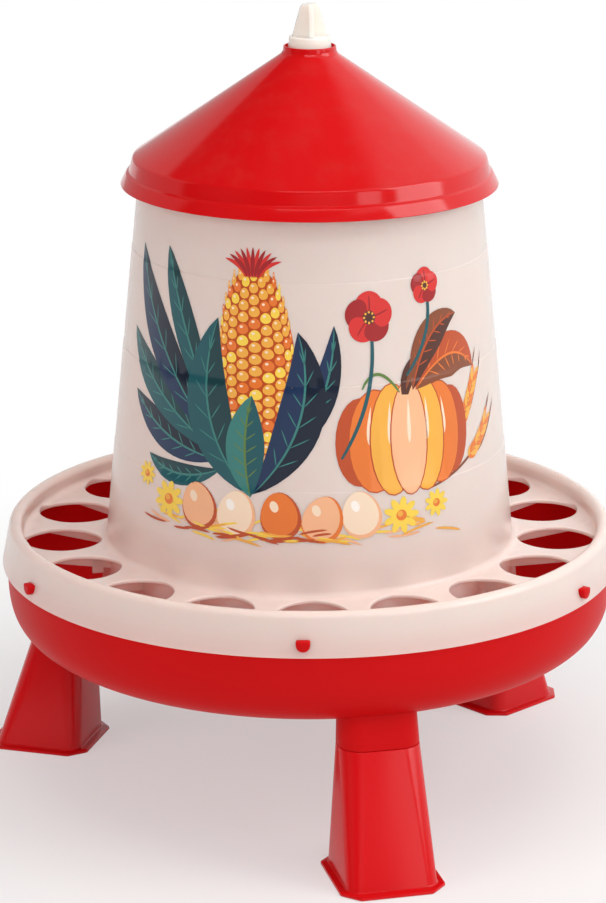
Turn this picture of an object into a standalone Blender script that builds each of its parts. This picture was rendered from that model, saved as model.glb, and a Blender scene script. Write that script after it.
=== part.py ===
# Poultry feeder. A white hopper, moulded in one piece with its ring of feeding holes, snaps onto a
# red pan that stands on three plug-in legs. A loose conical lid covers the hopper, and a ribbed
# hanging post stands in the pan and comes up through the lid's collar.
# Metres, +Z up. The origin is on the floor, under the middle of the whole feeder's box. The three
# feet reach past the rim on two sides, so the feeder's own axis stands a little off the origin.

import bpy
import bmesh
import math
from mathutils import Matrix, Vector

# Fits
FIT_GAP = 0.0003            # between faces that seat on each other
SNAP_CLEARANCE = 0.0004     # pan inside the rim, and each lug inside its slot
LID_CLEARANCE = 0.0007      # lid around the hopper's bead
COLLAR_CLEARANCE = 0.0018   # lid's collar around the post's head

# Facets around the round pieces; the hopper's count is a multiple of its holes
FACETS_PER_HOLE = 4
PAN_FACETS = 52
LID_FACETS = 52
HEAD_FACETS = 20
SHARP_ANGLE = math.radians(32)

# Legs
LEG_COUNT = 3
FIRST_LEG_ANGLE = math.radians(-76)
LEG_HEIGHT = 0.087          # floor to the seam under the pan's stub
LEG_WALL = 0.0024
LEG_INNER_FACE = 0.162      # upright inner face, from the feeder's axis
LEG_TOP_DEPTH = 0.0350
LEG_TOP_WIDTH = 0.0535
LEG_FOOT_DEPTH = 0.0630     # the outer face leans out, so the leg is deeper at the floor
LEG_FOOT_WIDTH = 0.0605
LEG_TOP_CORNER = 0.0150
LEG_FOOT_CORNER = 0.0095
LEG_CORNER_SHARE = 0.45     # the corner's radius is at most this share of the leg's depth
LEG_CORNER_STEPS = 3
SPIGOT_HEIGHT = 0.009
FLANGE_THICKNESS = 0.0022
FLANGE_END_OVERHANG = 0.0055
FLANGE_SIDE_OVERHANG = 0.0045
FLANGE_CHAMFER = 0.0110

# Pan
STUB_LENGTH = 0.0120        # seam to the pan's flat underside
STUB_INTO_PAN = 0.0160      # how far the stub's taper runs on before the pan's wall trims it
PAN_DEPTH = 0.0570          # flat underside to the rim's lower edge
PAN_WALL = 0.0025
PAN_FLAT_RADIUS = 0.117
PAN_CURVE = 3.6             # exponent of the lower curve: 2 is an ellipse, more is squarer
PAN_CURVE_STEPS = 8
PAN_INSIDE_STEPS = 4
CONE_FOOT_RADIUS = 0.092    # feed-spreading cone in the middle of the pan
CONE_HEIGHT = 0.050
SOCKET_WALL = 0.0040
SOCKET_DEPTH = 0.012

# Snap lugs of the pan
LUG_COUNT = 6
FIRST_LUG_ANGLE = math.radians(-91.2)
LUG_WIDTH = 0.0091
LUG_HEIGHT = 0.0070
LUG_RISE = 0.0048           # rim's lower edge to the lug's underside
LUG_PROUD = 0.0033
LUG_ROUND_STEPS = 6

# Rim and grille
RIM_RADIUS = 0.210          # outer radius at the rim's lower edge
RIM_HEIGHT = 0.0283         # lower edge to crest
RIM_DRAFT = 0.195           # how far the band leans in for each metre it rises
RIM_WALL = 0.0030
CREST_RADIUS = 0.0047       # radius of the rolled crest
CREST_STEPS = 5
GRILLE_RISE = 0.0151        # rim's lower edge to the grille's top face
GRILLE_WALL = 0.0025
GRILLE_FILLET = 0.0040
FILLET_STEPS = 2
HOLE_COUNT = 17
FIRST_HOLE_ANGLE = math.radians(-89.4)
HOLE_TO_HOPPER = 0.0032     # from the hopper's base to the hole's inner end
HOLE_TO_RIM = 0.0011        # from the hole's outer end to the rim's inner wall
HOLE_WIDTH = 0.0480
HOLE_CURVE = 1.85           # exponent of the hole's oval: under 2 draws its ends to a point
HOLE_STEPS = 18

# Hopper
HOPPER_HEIGHT = 0.2598      # grille's top face to the hopper's top edge
HOPPER_BASE_RADIUS = 0.1393
HOPPER_TOP_RADIUS = 0.1128
HOPPER_WALL = 0.0025
BEAD_PROUD = 0.0017
BEAD_HEIGHT = 0.0040
SKIRT_DEPTH = 0.0374        # the wall goes on below the grille
STEP_HEIGHTS = (0.0025, 0.069, 0.137, 0.203)   # moulded step lines above the grille's top face
STEP_PROUD = 0.0003
STEP_RUN = 0.0008

# Gussets under the webs between the holes
GUSSET_THICKNESS = 0.0022
GUSSET_TO_RIM = 0.0140      # from the gusset's outer end to the rim's inner wall
GUSSET_END_DROP = 0.0052    # below the grille's top face
GUSSET_ROOT_DROP = 0.0127
TAB_GUSSETS = (2, 8, 13)    # gussets that carry a small tab, counted from the front hole
TAB_TO_HOPPER = 0.0057
TAB_LENGTH = 0.0078
TAB_THICKNESS = 0.0018
TAB_DROP = 0.0155           # grille's top face to the tab's lower edge

# Lid
LID_WALL = 0.0022
LID_SEAT_WIDTH = 0.0070
LID_SHOULDER_RISE = 0.0026  # seat to the shoulder's edge
LID_CONE_RISE = 0.0682      # shoulder's edge to the collar's foot
LID_BAND_DROP = 0.0094      # shoulder's edge down to the ledge
LID_BAND_FLARE = 0.0024
LEDGE_DROP = 0.0010
LEDGE_WIDTH = 0.0018
SKIRT_FLARE = 0.0040        # lower band, below the ledge
SKIRT_DROP = 0.0079
COLLAR_HEIGHT = 0.0047
COLLAR_WALL = 0.0015
SHOULDER_ROUND = 0.0012

# Hanging post
POST_RIB_SPAN = 0.0180      # tip to tip of the ribs of its cross-shaped shank
POST_RIB_THICKNESS = 0.0032
HEAD_BASE_RADIUS = 0.0145
HEAD_BASE_DRAFT = 0.0008
HEAD_BASE_SUNK = 0.0050     # how far the round base reaches down into the collar
HEAD_BASE_RISE = 0.0062     # and how far it stands up out of it
HEAD_ANGLE = math.radians(6.5)
HEAD_LEVELS = ((0.0, 0.0116), (0.0165, 0.0072), (0.0200, 0.0058), (0.0213, 0.0047))  # rise, reach
HEAD_SOLID_QUARTERS = (0, 2)    # quarters between the head's ribs that are filled, not open

# Colours
WHITE = (0.80, 0.74, 0.71, 1.0)
RED = (0.62, 0.012, 0.014, 1.0)

# Levels that follow from the sizes
STUB_BOTTOM_Z = LEG_HEIGHT + FIT_GAP
PAN_BOTTOM_Z = STUB_BOTTOM_Z + STUB_LENGTH
STUB_TOP_Z = PAN_BOTTOM_Z + STUB_INTO_PAN
RIM_EDGE_Z = PAN_BOTTOM_Z + PAN_DEPTH
CREST_TOP_Z = RIM_EDGE_Z + RIM_HEIGHT
GRILLE_TOP_Z = RIM_EDGE_Z + GRILLE_RISE
GRILLE_UNDER_Z = GRILLE_TOP_Z - GRILLE_WALL
HOPPER_TOP_Z = GRILLE_TOP_Z + HOPPER_HEIGHT
SKIRT_BOTTOM_Z = GRILLE_TOP_Z - SKIRT_DEPTH
LID_SEAT_Z = HOPPER_TOP_Z + FIT_GAP
SHOULDER_Z = LID_SEAT_Z + LID_SHOULDER_RISE
COLLAR_FOOT_Z = SHOULDER_Z + LID_CONE_RISE
COLLAR_TOP_Z = COLLAR_FOOT_Z + COLLAR_HEIGHT
HEAD_BASE_Z = COLLAR_TOP_Z - HEAD_BASE_SUNK
HEAD_RIBS_Z = COLLAR_TOP_Z + HEAD_BASE_RISE
SOCKET_TOP_Z = PAN_BOTTOM_Z + PAN_WALL + CONE_HEIGHT
SOCKET_FLOOR_Z = SOCKET_TOP_Z - SOCKET_DEPTH
POST_FOOT_Z = SOCKET_FLOOR_Z + FIT_GAP

# Radii that follow from the sizes
HOPPER_DRAFT = (HOPPER_BASE_RADIUS - HOPPER_TOP_RADIUS) / HOPPER_HEIGHT
BEAD_RADIUS = HOPPER_TOP_RADIUS + BEAD_PROUD
LID_INSIDE_RADIUS = BEAD_RADIUS + LID_CLEARANCE
SHOULDER_RADIUS = LID_INSIDE_RADIUS + LID_WALL
COLLAR_INSIDE_RADIUS = HEAD_BASE_RADIUS + COLLAR_CLEARANCE
COLLAR_RADIUS = COLLAR_INSIDE_RADIUS + COLLAR_WALL
PAN_RIM_INSET = RIM_WALL + SNAP_CLEARANCE
SOCKET_RADIUS = math.hypot(POST_RIB_SPAN, POST_RIB_THICKNESS) / 2 + FIT_GAP
CREST_MIDDLE_Z = CREST_TOP_Z - CREST_RADIUS


def rim_radius(z):
    return RIM_RADIUS - RIM_DRAFT * (z - RIM_EDGE_Z)


CREST_MIDDLE_RADIUS = rim_radius(CREST_MIDDLE_Z) - CREST_RADIUS
RIM_INSIDE_RADIUS = CREST_MIDDLE_RADIUS - CREST_RADIUS
HOLE_INNER_END = HOPPER_BASE_RADIUS + HOLE_TO_HOPPER
HOLE_OUTER_END = RIM_INSIDE_RADIUS - HOLE_TO_RIM
GUSSET_END_RADIUS = RIM_INSIDE_RADIUS - GUSSET_TO_RIM
TAB_INNER_RADIUS = HOPPER_BASE_RADIUS + TAB_TO_HOPPER
CHANNEL_TOP_Z = CREST_TOP_Z - CREST_RADIUS + RIM_WALL / 4
PAN_LIP_Z = CHANNEL_TOP_Z - FIT_GAP


def hopper_radius(z):
    """Outer radius of the hopper's wall, which grows by a small step at each moulded line."""
    steps = sum(1 for height in STEP_HEIGHTS if z - GRILLE_TOP_Z > height)
    lost = STEP_PROUD * steps
    return HOPPER_BASE_RADIUS - (HOPPER_DRAFT - STEP_PROUD * len(STEP_HEIGHTS) / HOPPER_HEIGHT) * (
        z - GRILLE_TOP_Z) - lost


def pan_curve(edge_radius, depth, steps, top_z):
    """Lower curve of the pan, from its edge down and in to the flat underside."""
    points = []
    for i in range(steps + 1):
        t = i / steps * math.pi / 2
        radius = PAN_FLAT_RADIUS + (edge_radius - PAN_FLAT_RADIUS) * math.cos(t) ** (2 / PAN_CURVE)
        points.append((radius, top_z - depth * math.sin(t) ** (2 / PAN_CURVE)))
    return points


def arc(middle, radius, start, end, steps):
    """Points on a circular arc in the profile's plane, both ends included."""
    points = []
    for i in range(steps + 1):
        angle = start + (end - start) * i / steps
        points.append((middle[0] + radius * math.cos(angle), middle[1] + radius * math.sin(angle)))
    return points


def make_material(name, color, roughness):
    material = bpy.data.materials.new(name)
    material.use_nodes = True
    shader = material.node_tree.nodes["Principled BSDF"]
    shader.inputs["Base Color"].default_value = color
    shader.inputs["Roughness"].default_value = roughness
    shader.inputs["Metallic"].default_value = 0.0
    material.diffuse_color = color
    return material


def make_object(name, bm, material):
    """Turn a bmesh into an object whose faces point out and whose round sides shade smooth."""
    bmesh.ops.recalc_face_normals(bm, faces=bm.faces)
    mesh = bpy.data.meshes.new(name)
    bm.to_mesh(mesh)
    bm.free()
    mesh.shade_smooth()
    mesh.set_sharp_from_angle(angle=SHARP_ANGLE)
    obj = bpy.data.objects.new(name, mesh)
    obj.data.materials.append(material)
    bpy.context.scene.collection.objects.link(obj)
    return obj


def revolve(profile, facets, closed=True):
    """Spin a profile of (radius, z) points around the axis. An open one starts and ends on it."""
    bm = bmesh.new()
    verts = [bm.verts.new((radius, 0.0, z)) for radius, z in profile]
    edges = [bm.edges.new(pair) for pair in zip(verts, verts[1:])]
    if closed:
        edges.append(bm.edges.new((verts[-1], verts[0])))
    bmesh.ops.spin(bm, geom=verts + edges, cent=(0, 0, 0), axis=(0, 0, 1), dvec=(0, 0, 0),
                   angle=2 * math.pi, steps=facets, use_merge=True, use_duplicate=False)
    bmesh.ops.remove_doubles(bm, verts=bm.verts, dist=1e-6)
    return bm


def place(point, angle):
    """Turn a point given as (outward, sideways, up) to a direction around the axis."""
    outward, sideways, up = point
    return Vector((outward * math.cos(angle) - sideways * math.sin(angle),
                   outward * math.sin(angle) + sideways * math.cos(angle), up))


def add_rings(bm, rings, angle):
    """Skin a stack of equal rings of (outward, sideways, up) points and close both ends."""
    loops = [[bm.verts.new(place(point, angle)) for point in ring] for ring in rings]
    for low, high in zip(loops, loops[1:]):
        for i in range(len(low)):
            j = (i + 1) % len(low)
            bm.faces.new((low[i], low[j], high[j], high[i]))
    bm.faces.new(list(reversed(loops[0])))
    bm.faces.new(loops[-1])


def corner_turn(middle, size, quarter):
    """Round corner of a section, one of four."""
    return arc(middle, size, quarter * math.pi / 2, (quarter + 1) * math.pi / 2, LEG_CORNER_STEPS)


def corner_cut(middle, size, quarter):
    """Straight, chamfered corner of a section with as many points as a round one."""
    start, end = arc(middle, size, quarter * math.pi / 2, (quarter + 1) * math.pi / 2, 1)
    steps = [i / LEG_CORNER_STEPS for i in range(LEG_CORNER_STEPS + 1)]
    return [(start[0] + (end[0] - start[0]) * t, start[1] + (end[1] - start[1]) * t) for t in steps]


def rectangle_ring(inner, outer, width, size, z, shape=corner_turn):
    """Ring of points of a rectangle with shaped corners, from `inner` to `outer` off the axis."""
    half = width / 2 - size
    middles = ((outer - size, half), (inner + size, half),
               (inner + size, -half), (outer - size, -half))
    return [(x, y, z) for quarter, middle in enumerate(middles)
            for x, y in shape(middle, size, quarter)]


def cut_or_join(target, tool, operation):
    """Apply a Boolean to the target and remove the tool."""
    modifier = target.modifiers.new(operation.title(), "BOOLEAN")
    modifier.object = tool
    modifier.operation = operation
    modifier.solver = "EXACT"
    depsgraph = bpy.context.evaluated_depsgraph_get()
    result = bpy.data.meshes.new_from_object(target.evaluated_get(depsgraph))
    target.modifiers.clear()
    target.data = result
    result.shade_smooth()
    result.set_sharp_from_angle(angle=SHARP_ANGLE)
    bpy.data.objects.remove(tool)


def hopper_profile():
    """Section through the hopper, grille and rim, as one closed loop."""
    base = hopper_radius(GRILLE_TOP_Z)
    profile = [(HOPPER_TOP_RADIUS - HOPPER_WALL, HOPPER_TOP_Z),
               (BEAD_RADIUS, HOPPER_TOP_Z),
               (BEAD_RADIUS, HOPPER_TOP_Z - BEAD_HEIGHT),
               (hopper_radius(HOPPER_TOP_Z - BEAD_HEIGHT - BEAD_PROUD),
                HOPPER_TOP_Z - BEAD_HEIGHT - BEAD_PROUD)]
    for height in sorted(STEP_HEIGHTS, reverse=True)[:-1]:
        above = GRILLE_TOP_Z + height + STEP_RUN / 2
        below = GRILLE_TOP_Z + height - STEP_RUN / 2
        profile.append((hopper_radius(above), above))
        profile.append((hopper_radius(below), below))
    fillet_z = GRILLE_TOP_Z + GRILLE_FILLET
    above = fillet_z + STEP_RUN
    profile.append((hopper_radius(above), above))
    profile += arc((base + GRILLE_FILLET, fillet_z), GRILLE_FILLET, math.pi, 1.5 * math.pi,
                   FILLET_STEPS)
    profile += arc((RIM_INSIDE_RADIUS - GRILLE_FILLET, fillet_z), GRILLE_FILLET,
                   1.5 * math.pi, 2 * math.pi, FILLET_STEPS)
    profile += arc((CREST_MIDDLE_RADIUS, CREST_MIDDLE_Z), CREST_RADIUS, math.pi, 0.0, CREST_STEPS)
    profile += [(RIM_RADIUS, RIM_EDGE_Z),
                (RIM_RADIUS - RIM_WALL, RIM_EDGE_Z),
                (rim_radius(CHANNEL_TOP_Z) - RIM_WALL, CHANNEL_TOP_Z),
                (RIM_INSIDE_RADIUS + GRILLE_WALL, CHANNEL_TOP_Z),
                (RIM_INSIDE_RADIUS + GRILLE_WALL, GRILLE_UNDER_Z),
                (hopper_radius(GRILLE_UNDER_Z), GRILLE_UNDER_Z),
                (hopper_radius(SKIRT_BOTTOM_Z), SKIRT_BOTTOM_Z),
                (hopper_radius(SKIRT_BOTTOM_Z) - HOPPER_WALL, SKIRT_BOTTOM_Z)]
    return profile


def hole_outline(z):
    """Oval of one feeding hole, as (outward, sideways, up) points."""
    middle = (HOLE_INNER_END + HOLE_OUTER_END) / 2
    reach = (HOLE_OUTER_END - HOLE_INNER_END) / 2
    points = []
    for i in range(HOLE_STEPS):
        t = 2 * math.pi * i / HOLE_STEPS
        c, s = math.cos(t), math.sin(t)
        outward = math.copysign(abs(c) ** (2 / HOLE_CURVE), c) * reach
        sideways = math.copysign(abs(s) ** (2 / HOLE_CURVE), s) * HOLE_WIDTH / 2
        points.append((middle + outward, sideways, z))
    return points


def add_plate(bm, outline, thickness, angle):
    """Upright radial plate from an outline of (outward, up) points."""
    sides = [[(x, side * thickness / 2, z) for x, z in outline] for side in (-1, 1)]
    add_rings(bm, sides, angle)


def gusset_outline():
    """Radial plate from the skirt out under a web, rooted a little into both."""
    root = hopper_radius(GRILLE_TOP_Z - GUSSET_ROOT_DROP) - HOPPER_WALL / 2
    top = GRILLE_TOP_Z - GRILLE_WALL / 2
    return [(root, top), (GUSSET_END_RADIUS, top),
            (GUSSET_END_RADIUS, GRILLE_TOP_Z - GUSSET_END_DROP),
            (root, GRILLE_TOP_Z - GUSSET_ROOT_DROP)]


def tab_outline():
    """Small tab that hangs from a gusset's lower edge."""
    outer = TAB_INNER_RADIUS + TAB_LENGTH
    top = GRILLE_TOP_Z - GUSSET_END_DROP
    low = GRILLE_TOP_Z - TAB_DROP
    return [(TAB_INNER_RADIUS, top), (outer, top), (outer, low), (TAB_INNER_RADIUS, low)]


def lug_ring(distance, extra):
    """Outline of a snap lug at a distance off the axis: flat on top and round below."""
    half = LUG_WIDTH / 2 + extra
    low = RIM_EDGE_Z + LUG_RISE - extra
    high = RIM_EDGE_Z + LUG_RISE + LUG_HEIGHT + extra
    points = [(distance, half, high), (distance, -half, high)]
    for x, z in arc((0.0, low + half), half, math.pi, 2 * math.pi, LUG_ROUND_STEPS):
        points.append((distance, x, z))
    return points


def make_hopper(white):
    """Hopper, grille and rim: one moulding."""
    angles = [FIRST_HOLE_ANGLE + 2 * math.pi * i / HOLE_COUNT for i in range(HOLE_COUNT)]
    web = math.pi / HOLE_COUNT
    bm = revolve(hopper_profile(), HOLE_COUNT * FACETS_PER_HOLE)
    middle_of_facet = FIRST_HOLE_ANGLE + web / FACETS_PER_HOLE
    bmesh.ops.rotate(bm, verts=bm.verts, cent=(0, 0, 0),
                     matrix=Matrix.Rotation(middle_of_facet, 3, "Z"))
    hopper = make_object("hopper", bm, white)

    ribs = bmesh.new()
    for angle in angles:
        add_plate(ribs, gusset_outline(), GUSSET_THICKNESS, angle + web)
    hopper_ribs = make_object("rib_tool", ribs, white)
    cut_or_join(hopper, hopper_ribs, "UNION")

    tabs = bmesh.new()
    for i in TAB_GUSSETS:
        add_plate(tabs, tab_outline(), TAB_THICKNESS, angles[i % HOLE_COUNT] + web)
    cut_or_join(hopper, make_object("tab_tool", tabs, white), "UNION")

    cutters = bmesh.new()
    for angle in angles:
        below = hole_outline(GRILLE_UNDER_Z - GRILLE_WALL)
        above = hole_outline(CREST_TOP_Z)
        add_rings(cutters, [below, above], angle)
    cut_or_join(hopper, make_object("hole_tool", cutters, white), "DIFFERENCE")

    slots = bmesh.new()
    for i in range(LUG_COUNT):
        angle = FIRST_LUG_ANGLE + 2 * math.pi * i / LUG_COUNT
        inner = rim_radius(CREST_MIDDLE_Z) - RIM_WALL
        add_rings(slots, [lug_ring(inner, SNAP_CLEARANCE),
                          lug_ring(RIM_RADIUS + LUG_PROUD, SNAP_CLEARANCE)], angle)
    cut_or_join(hopper, make_object("slot_tool", slots, white), "DIFFERENCE")
    return hopper


def pan_lip():
    """Outer side of the pan's wall where it stands up inside the rim."""
    return [(rim_radius(PAN_LIP_Z) - PAN_RIM_INSET, PAN_LIP_Z),
            (RIM_RADIUS - PAN_RIM_INSET, RIM_EDGE_Z)]


def pan_inside():
    """Inner face of the pan, from its lip down to the floor and up the feed cone."""
    edge = RIM_RADIUS - PAN_RIM_INSET - PAN_WALL
    floor_z = PAN_BOTTOM_Z + PAN_WALL
    curve = pan_curve(edge, PAN_DEPTH - PAN_WALL, PAN_INSIDE_STEPS, RIM_EDGE_Z)
    lip = (rim_radius(PAN_LIP_Z) - PAN_RIM_INSET - PAN_WALL, PAN_LIP_Z)
    cone = [(CONE_FOOT_RADIUS, floor_z), (SOCKET_RADIUS + SOCKET_WALL, SOCKET_TOP_Z)]
    return [lip] + curve + cone


def make_pan(red):
    """Pan with its feed cone, six snap lugs and three leg stubs: one moulding."""
    outside = pan_lip() + pan_curve(RIM_RADIUS - PAN_RIM_INSET, PAN_DEPTH, PAN_CURVE_STEPS,
                                    RIM_EDGE_Z)[1:]
    inside = pan_inside()
    cone_slope = CONE_HEIGHT / (CONE_FOOT_RADIUS - SOCKET_RADIUS - SOCKET_WALL)
    under_foot = CONE_FOOT_RADIUS - PAN_WALL
    under_top = SOCKET_RADIUS + SOCKET_WALL
    under = [(under_foot, PAN_BOTTOM_Z),
             (under_top, PAN_BOTTOM_Z + cone_slope * (under_foot - under_top)),
             (under_top, SOCKET_FLOOR_Z - SOCKET_WALL),
             (0.0, SOCKET_FLOOR_Z - SOCKET_WALL)]
    socket = [(0.0, SOCKET_FLOOR_Z), (SOCKET_RADIUS, SOCKET_FLOOR_Z),
              (SOCKET_RADIUS, SOCKET_TOP_Z)]
    profile = socket + list(reversed(inside)) + outside + under
    pan = make_object("feed_pan", revolve(profile, PAN_FACETS, closed=False), red)

    stubs = bmesh.new()
    hollows = bmesh.new()
    for angle in leg_angles():
        add_rings(stubs, [leg_ring(STUB_BOTTOM_Z, 0.0), leg_ring(STUB_TOP_Z, 0.0)], angle)
        add_rings(hollows, [leg_ring(STUB_BOTTOM_Z - LEG_WALL, LEG_WALL),
                            leg_ring(STUB_TOP_Z + LEG_WALL, LEG_WALL)], angle)
    stub = make_object("stub_tool", stubs, red)
    cut_or_join(stub, make_object("stub_hollow_tool", hollows, red), "DIFFERENCE")
    # The room inside the pan is cut from the stubs, so that they end in its wall.
    room = pan_inside()
    shift = PAN_WALL / 2
    room = [(0.0, RIM_EDGE_Z + PAN_DEPTH)] + [(room[0][0] + shift, RIM_EDGE_Z + PAN_DEPTH)] + [
        (radius + shift, z - shift) for radius, z in room[:-2]] + [
        (0.0, PAN_BOTTOM_Z + PAN_WALL - shift)]
    room_tool = make_object("room_tool", revolve(room, PAN_FACETS, closed=False), red)
    cut_or_join(stub, room_tool, "DIFFERENCE")
    cut_or_join(pan, stub, "UNION")

    lugs = bmesh.new()
    for i in range(LUG_COUNT):
        angle = FIRST_LUG_ANGLE + 2 * math.pi * i / LUG_COUNT
        root = rim_radius(RIM_EDGE_Z + LUG_RISE + LUG_HEIGHT) - PAN_RIM_INSET - PAN_WALL / 2
        tip = rim_radius(RIM_EDGE_Z + LUG_RISE) + LUG_PROUD
        add_rings(lugs, [lug_ring(root, 0.0), lug_ring(tip, 0.0)], angle)
    cut_or_join(pan, make_object("lug_tool", lugs, red), "UNION")
    return pan


def leg_angles():
    return [FIRST_LEG_ANGLE + 2 * math.pi * i / LEG_COUNT for i in range(LEG_COUNT)]


def leg_ring(z, inset):
    """Section of the leg's tapered body, which the stub above the seam carries on."""
    rise = z / LEG_HEIGHT
    depth = LEG_FOOT_DEPTH + (LEG_TOP_DEPTH - LEG_FOOT_DEPTH) * rise
    width = LEG_FOOT_WIDTH + (LEG_TOP_WIDTH - LEG_FOOT_WIDTH) * rise
    corner = LEG_FOOT_CORNER + (LEG_TOP_CORNER - LEG_FOOT_CORNER) * rise
    corner = min(corner, LEG_CORNER_SHARE * depth)
    return rectangle_ring(LEG_INNER_FACE + inset, LEG_INNER_FACE + depth - inset,
                          width - 2 * inset, corner - inset, z)


def flange_ring(z):
    """Outline of the foot flange, with its corners cut off straight."""
    return rectangle_ring(LEG_INNER_FACE - FLANGE_END_OVERHANG,
                          LEG_INNER_FACE + LEG_FOOT_DEPTH + FLANGE_END_OVERHANG,
                          LEG_FOOT_WIDTH + 2 * FLANGE_SIDE_OVERHANG, FLANGE_CHAMFER, z, corner_cut)


def make_leg(name, angle, red):
    """Hollow leg, open at the floor, with a foot flange and a spigot that plugs into the stub."""
    bm = bmesh.new()
    spigot = LEG_WALL + FIT_GAP
    rings = [leg_ring(LEG_HEIGHT - LEG_WALL, LEG_WALL),
             leg_ring(0.0, LEG_WALL),
             flange_ring(0.0),
             flange_ring(FLANGE_THICKNESS),
             leg_ring(FLANGE_THICKNESS, 0.0),
             leg_ring(LEG_HEIGHT, 0.0),
             leg_ring(LEG_HEIGHT, spigot),
             leg_ring(LEG_HEIGHT + SPIGOT_HEIGHT, spigot)]
    add_rings(bm, rings, angle)
    return make_object(name, bm, red)


def make_lid(red):
    """Conical lid with a round collar and a stepped, flared edge."""
    ledge_z = SHOULDER_Z - LID_BAND_DROP
    edge_z = ledge_z - LEDGE_DROP - SKIRT_DROP
    band_foot = SHOULDER_RADIUS + LID_BAND_FLARE
    ledge = band_foot + LEDGE_WIDTH
    edge = ledge + SKIRT_FLARE
    seat_inner = LID_INSIDE_RADIUS - LID_SEAT_WIDTH
    slope = LID_CONE_RISE / (SHOULDER_RADIUS - COLLAR_RADIUS)
    drop = LID_WALL * math.hypot(1.0, slope)

    def cone_z(radius):
        return SHOULDER_Z + slope * (SHOULDER_RADIUS - radius)

    round_in = SHOULDER_RADIUS - SHOULDER_ROUND
    profile = [(COLLAR_INSIDE_RADIUS, COLLAR_TOP_Z),
               (COLLAR_RADIUS, COLLAR_TOP_Z),
               (COLLAR_RADIUS, COLLAR_FOOT_Z),
               (round_in, cone_z(round_in)),
               (SHOULDER_RADIUS, SHOULDER_Z - SHOULDER_ROUND / 2),
               (band_foot, ledge_z),
               (ledge, ledge_z - LEDGE_DROP),
               (edge, edge_z),
               (edge - LID_WALL, edge_z),
               (ledge - LID_WALL, ledge_z - LEDGE_DROP - LID_WALL / 2),
               (band_foot - LID_WALL, ledge_z - LID_WALL / 2),
               (LID_INSIDE_RADIUS, LID_SEAT_Z),
               (seat_inner, LID_SEAT_Z),
               (seat_inner, cone_z(seat_inner) - drop),
               (COLLAR_INSIDE_RADIUS, cone_z(COLLAR_INSIDE_RADIUS) - drop)]
    return make_object("lid", revolve(profile, LID_FACETS), red)


def cross_ring(reach, z, solid_quarters=()):
    """Cross-shaped section of four ribs. A solid quarter is filled straight from rib to rib."""
    half = POST_RIB_THICKNESS / 2
    filled = (reach + half) / 2
    points = []
    for k in range(4):
        root = (filled, filled) if k in solid_quarters else (half, half)
        c, s = math.cos(k * math.pi / 2), math.sin(k * math.pi / 2)
        for x, y in ((reach, -half), (reach, half), root):
            points.append((x * c - y * s, x * s + y * c, z))
    return points


def make_post(white):
    """Cross-ribbed hanging post with a round base and a tapered head above the lid."""
    disc = revolve([(0.0, HEAD_RIBS_Z), (HEAD_BASE_RADIUS - HEAD_BASE_DRAFT, HEAD_RIBS_Z),
                    (HEAD_BASE_RADIUS, HEAD_BASE_Z), (0.0, HEAD_BASE_Z)], HEAD_FACETS,
                   closed=False)
    post = make_object("hanging_post", disc, white)
    root = POST_RIB_THICKNESS / 2
    shank = bmesh.new()
    add_rings(shank, [cross_ring(POST_RIB_SPAN / 2, POST_FOOT_Z),
                      cross_ring(POST_RIB_SPAN / 2, HEAD_BASE_Z + root)], HEAD_ANGLE)
    cut_or_join(post, make_object("shank_tool", shank, white), "UNION")
    head = bmesh.new()
    levels = ((-root, HEAD_LEVELS[0][1]),) + HEAD_LEVELS
    add_rings(head, [cross_ring(reach, HEAD_RIBS_Z + rise, HEAD_SOLID_QUARTERS)
                     for rise, reach in levels], HEAD_ANGLE)
    cut_or_join(post, make_object("head_tool", head, white), "UNION")
    return post


def carry_on_axis(pieces):
    """Parent every piece to the feeder's axis, which centres the whole box over the origin."""
    points = [vert.co for piece in pieces for vert in piece.data.vertices]
    axis = bpy.data.objects.new("feeder_axis", None)
    for k in range(2):
        side = [point[k] for point in points]
        axis.location[k] = -(min(side) + max(side)) / 2
    bpy.context.scene.collection.objects.link(axis)
    for piece in pieces:
        piece.parent = axis


def build():
    for obj in list(bpy.data.objects):
        bpy.data.objects.remove(obj)
    white = make_material("white_polypropylene", WHITE, 0.38)
    red = make_material("red_polypropylene", RED, 0.30)
    pieces = [make_hopper(white), make_pan(red), make_lid(red), make_post(white)]
    for number, angle in enumerate(leg_angles(), start=1):
        pieces.append(make_leg(f"leg_{number}", angle, red))
    carry_on_axis(pieces)


build()
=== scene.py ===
import math
import random
import bpy
import bmesh
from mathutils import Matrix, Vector


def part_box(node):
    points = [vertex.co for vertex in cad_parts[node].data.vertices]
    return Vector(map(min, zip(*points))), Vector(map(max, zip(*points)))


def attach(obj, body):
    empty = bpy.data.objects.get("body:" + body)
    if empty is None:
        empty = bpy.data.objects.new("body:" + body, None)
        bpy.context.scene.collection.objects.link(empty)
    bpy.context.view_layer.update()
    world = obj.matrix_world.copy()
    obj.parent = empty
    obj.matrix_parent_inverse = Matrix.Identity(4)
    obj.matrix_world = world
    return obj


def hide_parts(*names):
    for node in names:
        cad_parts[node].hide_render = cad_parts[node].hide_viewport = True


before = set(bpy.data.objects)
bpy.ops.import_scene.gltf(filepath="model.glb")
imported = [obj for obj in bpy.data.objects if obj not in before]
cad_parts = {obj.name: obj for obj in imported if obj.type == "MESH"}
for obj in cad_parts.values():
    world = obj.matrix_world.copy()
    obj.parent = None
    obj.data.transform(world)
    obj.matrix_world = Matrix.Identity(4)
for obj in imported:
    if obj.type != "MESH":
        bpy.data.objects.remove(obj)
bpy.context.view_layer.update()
lidLow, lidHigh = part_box("lid")
axis = Vector(((lidLow.x + lidHigh.x) / 2, (lidLow.y + lidHigh.y) / 2, 0.0))  # the feeder's upright axis
print("frame loaded, axis at", round(axis.x, 4), round(axis.y, 4))

# Sizes below are in millimetres, with radii off the feeder's axis and heights off the floor.


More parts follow.
